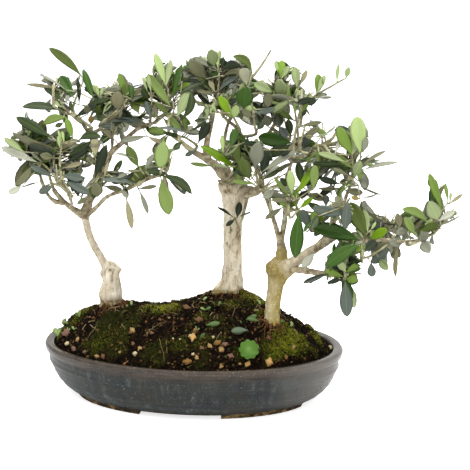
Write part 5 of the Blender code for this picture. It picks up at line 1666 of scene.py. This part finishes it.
def shortened(shoot, share):
    """A shoot that ends at a share of its length."""
    legs = len(shoot.points) - 1
    points = [place_on(shoot, share * k / legs)[0] for k in range(legs + 1)]
    return shoot_through(points, shoot.headings[0], (shoot.radii[0], shoot.radii[-1]), shoot.order)


def twigs_kept(grown, kept):
    """The shoots that carry leaves, each no longer than it needs to be, and those that carry them."""
    ends = {}
    for leaf, _, _ in kept:
        ends[leaf.shoot] = max(ends.get(leaf.shoot, 0), leaf.share)
    for number in list(ends):
        parent = grown[number].parent
        if parent:
            ends[parent] = max(ends.get(parent, 0), TWIGLET_LAST)
    return [shortened(grown[number], min(1, ends[number])) for number in sorted(ends) if number]


def grow(mass, lines, limbs, view):
    """The shoots and leaves of one mass that keep to its space, clear of the limbs and each other, and
    leave open what the photo shows as sky. Each round grows new twigs on the same stem."""
    rng = random.Random(mass.seed)
    shoots, leaves = [], []
    taken = np.empty((0, 3))
    for number in range(GROWTH_ROUNDS):
        grown = shoots_of(mass, lines, rng)
        grown += twiglets_of(grown, rng)
        stem = grown[0]
        if number == 0:
            shoots.append(stem)
        centre = (stem.points[0] + stem.points[-1]) / 2 + Vector(mass.offset)
        ages = [rng.choices(*AGES)[0] for _ in grown]
        hidden = [not shoot.order or view.allows(along_shoot(shoot)[TWIG_FREE:], 1) for shoot in grown]
        kept = []
        for leaf in leaves_of(mass, grown, rng):
            tip = leaf.root + leaf.direction * leaf.length
            samples = np.array([leaf.root.lerp(tip, share) for share in LEAF_SAMPLES])
            width = rng.uniform(*GROWN_WIDTH)
            bend = Bend(width, rng.uniform(0.1, 0.4), rng.uniform(0.1, 0.9), rng.uniform(-0.5, 0.5),
                        rng.uniform(-0.4, 0.4), (0, 0, 0))
            if not hidden[leaf.shoot] or not inside(tip, centre, mass.space):
                continue
            if not view.allows(outline_of(leaf, width), HIDDEN_SHARE):
                continue
            if len(taken) and np.min(((taken[:, None] - samples) ** 2).sum(2)) < LEAF_CLEAR ** 2:
                continue
            if limbs.ray_cast(leaf.root.lerp(tip, 0.3), leaf.direction, leaf.length * 0.7)[0]:
                continue
            taken = np.concatenate([taken, samples])
            age = ages[leaf.shoot]
            stage = "tip" if leaf.share > NEW_TIP and age == "new" else age
            kept.append((leaf, bend, tone_of(rng, stage)))
        leaves += kept
        shoots += twigs_kept(grown, kept)
    return shoots, leaves


def on_trunk(trunk, line, share, turn):
    """A point of a trunk's round at a share of its height, which faces a way in degrees."""
    aside, over = turn_of(turn)
    return point_on(line, share) + Vector((aside, over, 0)) * smooth_between(trunk.girth, share)


def trunk_relief(trunk, line):
    """The way a trunk's bark stands out: lobed roots, knobs, long furrows and grain."""
    foot_top = line.start.z + line.reach.z / (len(trunk.girth) - 1)
    seed = Vector((len(trunk.name) * TRUNK_SEED, 0, 0))
    one_side, right_side = ALGAE_SIDES

    def relief(place, out, share):
        root = max(0, (foot_top - place.z) / (foot_top - line.start.z))
        lobes = math.cos(ROOT_LOBES * math.atan2(out.y, out.x)) * trunk.roots * min(root, 1.2)
        drawn = Vector((place.x, place.y, place.z * TRUNK_DRAWN))
        swell = grain_at(drawn, TRUNK_SWELL, seed)
        furrow = grain_at(drawn, TRUNK_FURROW, seed)
        stand = lobes * trunk.girth[0] + swell * TRUNK_SWELL.height + furrow * TRUNK_FURROW.height
        stand += waves(place, TRUNK_GRIT)
        knobs = 0
        for height, turn, breadth, size in KNOBS[trunk.name]:
            away = (place - on_trunk(trunk, line, height, turn)).length / breadth
            knobs += size * math.exp(-away * away)
        peeled = 0.0
        for height, turn, breadth, tall in PEELED[trunk.name]:
            away = place - on_trunk(trunk, line, height, turn)
            peeled += math.exp(-(away.xy.length / breadth) ** 2 - (away.z / tall) ** 2)
        algae = max(0, min(1, 1.3 * root)) * ALGAE_AT_FOOT
        algae += ALGAE[trunk.name] * (one_side + right_side * max(0, out.x))
        return stand + knobs, (furrow + swell * 0.5, algae, min(1, peeled * PEELED_STRENGTH), 0.0)

    return relief


def steps_along(line, step):
    """Shares of a line about a step apart, with its points and its headings there."""
    count = max(6, round(line.reach.length / step))
    shares = [k / count for k in range(count + 1)]
    points = [point_on(line, share) for share in shares]
    return shares, points, [heading_on(line, share) for share in shares]


def add_trunk(bm, trunk, line):
    """Add a trunk from just under the ground to its top."""
    shares, points, headings = steps_along(line, TRUNK_STEP)
    points.insert(0, line.start - UP * FOOT_SUNK)
    headings.insert(0, UP)
    radii = [trunk.girth[0] * FOOT_FLARE] + [smooth_between(trunk.girth, share) for share in shares]
    for share in TRUNK_TOP:
        points.append(points[-1] + headings[-1] * TRUNK_TOP_STEP)
        headings.append(headings[-1])
        radii.append(trunk.girth[-1] * share)
    roll_tube(bm, frames_along(points, headings, radii), TRUNK_SIDES, trunk_relief(trunk, line), WOOD_LAYERS)


def add_limb(bm, limb, line, parent_radius):
    """Add a bough: a tapering tube with a collar where it leaves its parent."""
    shares, points, headings = steps_along(line, LIMB_STEP)
    radii = []
    for share in shares:
        out = share * line.reach.length - parent_radius
        fading = math.exp(-max(out, 0) / (limb.radii[0] * COLLAR_REACH))
        swell = 1 + COLLARS.get(limb.name, COLLAR) * fading
        radii.append(between(limb.radii, share) * swell * LIMB_SLIM)
    seed = Vector((0, len(limb.name) * LIMB_SEED, 0))

    def relief(place, out, share):
        furrow = grain_at(place, LIMB_FURROW, seed)
        knots = max(0, noise.noise(place / 9 + seed) - 0.25) * 1.6
        radius = between(limb.radii, share)
        slender = max(0, min(1, (LIMB_OLD - radius) / (LIMB_OLD - LIMB_YOUNG)))
        slender *= STEM_YOUNG if limb is STEM else 1
        algae = ALGAE.get(limb.parent, 0) * max(0, 0.9 - 3 * share)
        peeled = max(0, 0.9 - 5 * share) if limb.parent == "trunk_right" else 0.0
        stand = (furrow * LIMB_FURROW.height + knots * 0.5) * min(radius, 3)
        return stand, (furrow, algae, peeled, slender)

    roll_tube(bm, frames_along(points, headings, radii), LIMB_SIDES, relief, WOOD_LAYERS)


def boughs_of(side):
    """The boughs of one tree."""
    return [limb for limb in BOUGHS if limb.name.startswith(side)]


def make_wood(lines):
    """Trunk and boughs of each tree in one piece, and a tree of faces to keep leaves off them."""
    bark = olive_bark()
    radius_of = {trunk.name: smooth_between(trunk.girth, TRUNK_HEAD) for trunk in TRUNKS}
    radius_of.update({limb.name: limb.radii[0] for limb in [STEM] + BOUGHS})
    everything = bmesh.new()
    for trunk in TRUNKS:
        side = trunk.name.split("_")[1]
        bm = bmesh.new()
        add_trunk(bm, trunk, lines[trunk.name])
        boughs = boughs_of(side)
        for limb in [STEM] * (STEM.parent == trunk.name) + boughs:
            add_limb(bm, limb, lines[limb.name], radius_of[limb.parent] * 0.8)
        names = [trunk.name] + [limb.name for limb in boughs]
        mesh = bpy.data.meshes.new("room")
        bm.to_mesh(mesh)
        everything.from_mesh(mesh)
        bpy.data.meshes.remove(mesh)
        piece = finish_piece(f"wood_{side}", bm, [bark])
        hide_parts(*names)
    tree = BVHTree.FromBMesh(everything)
    everything.free()
    return tree


def limb_samples(side, lines):
    """Points along every limb of one tree, from which a spray may spring."""
    steps = range(SPRING_FROM, SPRING_STEPS + 1)
    return [point_on(lines[limb.name], k / SPRING_STEPS) for limb in boughs_of(side) for k in steps]


def nearest_in_view(points, pixel, depth=None):
    """The point that shows nearest to a pixel, with some weight on its depth where one is given."""
    def apart(point):
        (x, y), away = pixel_of(point)
        return math.hypot(x - pixel[0], y - pixel[1]) + (DEPTH_WEIGHT * abs(away - depth) if depth else 0)
    return min(points, key=apart)


def front_depth(name, lines):
    """The depth from the camera of the front part of a mass."""
    mass = next(mass for mass in MASSES if mass.name == "leaves_" + name)
    middle = point_on(lines[mass.limb], mass.leaves) + Vector(mass.reach) / 2 + Vector(mass.offset)
    return pixel_of(middle)[1] - mass.space[1] * FRONT_SHARE


def smoothed(points):
    """A smooth curve through a few points."""
    count = SMOOTH_STEPS * (len(points) - 1)
    return [smooth_between(points, k / count) for k in range(count + 1)]


def along_shoot(shoot):
    """Points along a shoot."""
    return [place_on(shoot, k / SHOOT_MARKS)[0] for k in range(SHOOT_MARKS + 1)]


def leaf_shown(shown, depth, rng):
    """The leaf that a row of a spray stands for, at a depth from the camera, and its bend. One that
    shows short or thin is turned towards or away from the camera."""
    base = seen_at((shown.x, shown.y), depth)
    scale = depth / FOCUS_PIXELS
    flat = (seen_at((shown.tip_x, shown.tip_y), depth) - base).length
    breadth = shown.breadth * scale
    length = max(flat, min(breadth * SHORTEST_LEAF, LONGEST_LEAN))
    lean = math.sqrt(length ** 2 - flat ** 2) * rng.choice((1, 1, -1))
    reach = seen_at((shown.tip_x, shown.tip_y), depth - lean) - base
    direction = reach.normalized()
    towards = (camera_place()[0] - base).normalized()
    normal = squared(towards, direction)
    real = max(breadth, reach.length * THINNEST_LEAF)
    roll = math.acos(min(1, breadth / real)) * rng.choice((1, -1))
    aside = direction.cross(towards).normalized() * (shown.bow * scale)
    bend = Bend(real / reach.length, rng.uniform(*SHOWN_FOLD), rng.uniform(*SHOWN_CURL),
                rng.uniform(-0.2, 0.2), rng.uniform(-0.25, 0.25), aside[:])
    turned = Matrix.Rotation(roll, 3, direction) @ normal
    return Leaf(base, direction, turned, reach.length, 0, 0.5), bend


def spray_of(spray, lines, springs, rng):
    """A shoot that runs through pixels of the photo from the nearest wood to the front of its mass, with
    the leaves that the photo shows on it, each on a short stalk."""
    name, ahead_by, pixels, rows = spray
    front = front_depth(name, lines) - ahead_by
    start = nearest_in_view(springs, pixels[0], front)
    depth = pixel_of(start)[1]
    points = [start]
    for number, pixel in enumerate(pixels):
        point = seen_at(pixel, between((depth, front), (number + 1) / len(pixels)))
        if (point - points[-1]).length > SHORTEST_STEP:
            points.append(point)
    if len(points) == 1:
        points.append(seen_at(pixels[-1], front))
    curve = smoothed(points)
    shoots = [shoot_through(curve, (curve[1] - curve[0]).normalized(), SPRAY_RADII, 1)]
    marks = along_shoot(shoots[0])[MARKS_FROM:]
    leaves = []
    for row in rows:
        shown = Shown(*row)
        joint = nearest_in_view(marks + springs, (shown.x, shown.y), front)
        leaf, bend = leaf_shown(shown, (pixel_of(joint)[1] + front) / 2 - rng.uniform(0.5, 2.5), rng)
        leaves.append((leaf, bend, shown.tone))
        stalk = leaf.root - joint
        if stalk.length > SHORTEST_STALK:
            shoots.append(shoot_through([joint, leaf.root], stalk.normalized(), STALK_RADII, 2))
    return name.split("_")[0], shoots, leaves


def make_foliage(lines, limbs):
    """Twigs and leaves of each tree, each kind in one piece. The sprays that the photo shows come first,
    and the rest grows behind them by the rule."""
    tones = leaf_materials()
    slot_of = {name: number for number, name in enumerate(tones)}
    twig_skin = twig_bark()
    view = View()
    rng = random.Random(7)
    placed_sprays = []
    for spray in SPRAYS:
        made = spray_of(spray, lines, limb_samples(spray[0].split("_")[0], lines), rng)
        placed_sprays.append(made)
        for row, (leaf, _, _) in zip(spray[3], made[2]):
            shown = Shown(*row)
            depth = pixel_of(leaf.root)[1] + BEHIND
            view.cover((shown.x, shown.y), (shown.tip_x, shown.tip_y), shown.breadth, depth)
    view.close()
    for side in ("left", "middle", "right"):
        copies, replaced = [], []
        twigs = bmesh.new()
        grown = [(shoots, leaves) for name, shoots, leaves in placed_sprays if name == side]
        placed_count = sum(len(leaves) for _, leaves in grown)
        for mass in MASSES:
            if mass.name.split("_")[1] == side:
                replaced.append(mass.name)
                grown.append(grow(mass, lines, limbs, view))
        for shoots, leaves in grown:
            for shoot in shoots:
                roll_tube(twigs, frames_along(shoot.points, shoot.headings, shoot.radii), TWIG_SIDES)
            for leaf, bend, tone in leaves:
                names = (tone, OTHER_SIDE.get(tone, "dusty"), RIBS.get(tone, tone))
                shape = NEAR_BLADE if len(copies) < placed_count else FAR_BLADE
                slots = [slot_of[names[part]] for part in shape[2]]
                copies.append((leaf_points(shape, leaf, bend), shape[1], slots))
        leaves_piece = joined(f"leaves_{side}", copies, list(tones.values()))
        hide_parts(*replaced)
        finish_piece(f"twigs_{side}", twigs, [twig_skin])


def add_lamp(name, place, size, energy):
    """A soft lamp that faces the plant, its size its width and height."""
    lamp = bpy.data.lights.new(name, "AREA")
    lamp.shape = "RECTANGLE"
    lamp.size, lamp.size_y = size
    lamp.energy = energy
    lit = put(name, lamp)
    lit.location = place
    lit.rotation_euler = (Vector(LAMP_TARGET) - lit.location).to_track_quat("-Z", "Y").to_euler()


def make_stage():
    """A white paper floor, soft light from all round with broad lamps above, and the camera."""
    bm = bmesh.new()
    bmesh.ops.create_grid(bm, x_segments=1, y_segments=1, size=FLOOR_REACH)
    mesh = mesh_of("floor", bm)
    paper, tree = new_material("white paper", {
        "Base Color": linear("#f4f4f4"), "Roughness": 0.9, "Emission Color": (1, 1, 1, 1)})
    seen = add_node(tree, "LightPath", output="Is Camera Ray")
    glow = add_node(tree, "MapRange", from_to(seen, 0, 1, 0, PAPER_GLOW))
    tree.links.new(glow, tree.nodes["Principled BSDF"].inputs["Emission Strength"])
    mesh.materials.append(paper)
    put("floor", mesh)
    world = bpy.data.worlds.new("studio")
    world.use_nodes = True
    tree = world.node_tree
    tree.nodes["Background"].inputs["Color"].default_value = (1, 1, 1, 1)
    place = add_node(tree, "TexCoord", output="Generated")
    across = add_node(tree, "SeparateXYZ", {"Vector": place}, "X")
    dim = add_node(tree, "MapRange", from_to(across, -1, 1, *AMBIENT))
    seen = add_node(tree, "LightPath", output="Is Camera Ray")
    strength = add_node(tree, "Math", {0: dim, 1: seen}, operation="MAXIMUM")
    tree.links.new(strength, tree.nodes["Background"].inputs["Strength"])
    bpy.context.scene.world = world
    for lamp in LAMPS:
        add_lamp(*lamp)
    bpy.context.scene.view_settings.view_transform = "Standard"
    eye, ahead, _, _ = camera_place()
    lens = bpy.data.cameras.new("camera")
    lens.sensor_width = SENSOR
    lens.lens = SENSOR * FOCUS_PIXELS / IMAGE_SIDE
    lens.clip_end = VIEW_END
    camera = put("camera", lens)
    camera.location = TO_FRAME @ eye
    camera.rotation_mode = "QUATERNION"
    camera.rotation_quaternion = ahead.to_track_quat("-Z", "Y")
    bpy.context.scene.camera = camera


def main():
    """Make the stage and the plant."""
    make_stage()
    make_pot()
    ground = make_soil()
    make_moss(ground)
    make_crumbs(ground)
    make_granules(ground)
    make_fibres(ground)
    make_weeds(ground)
    lines = lines_of_limbs()
    limbs = make_wood(lines)
    make_foliage(lines, limbs)


main()
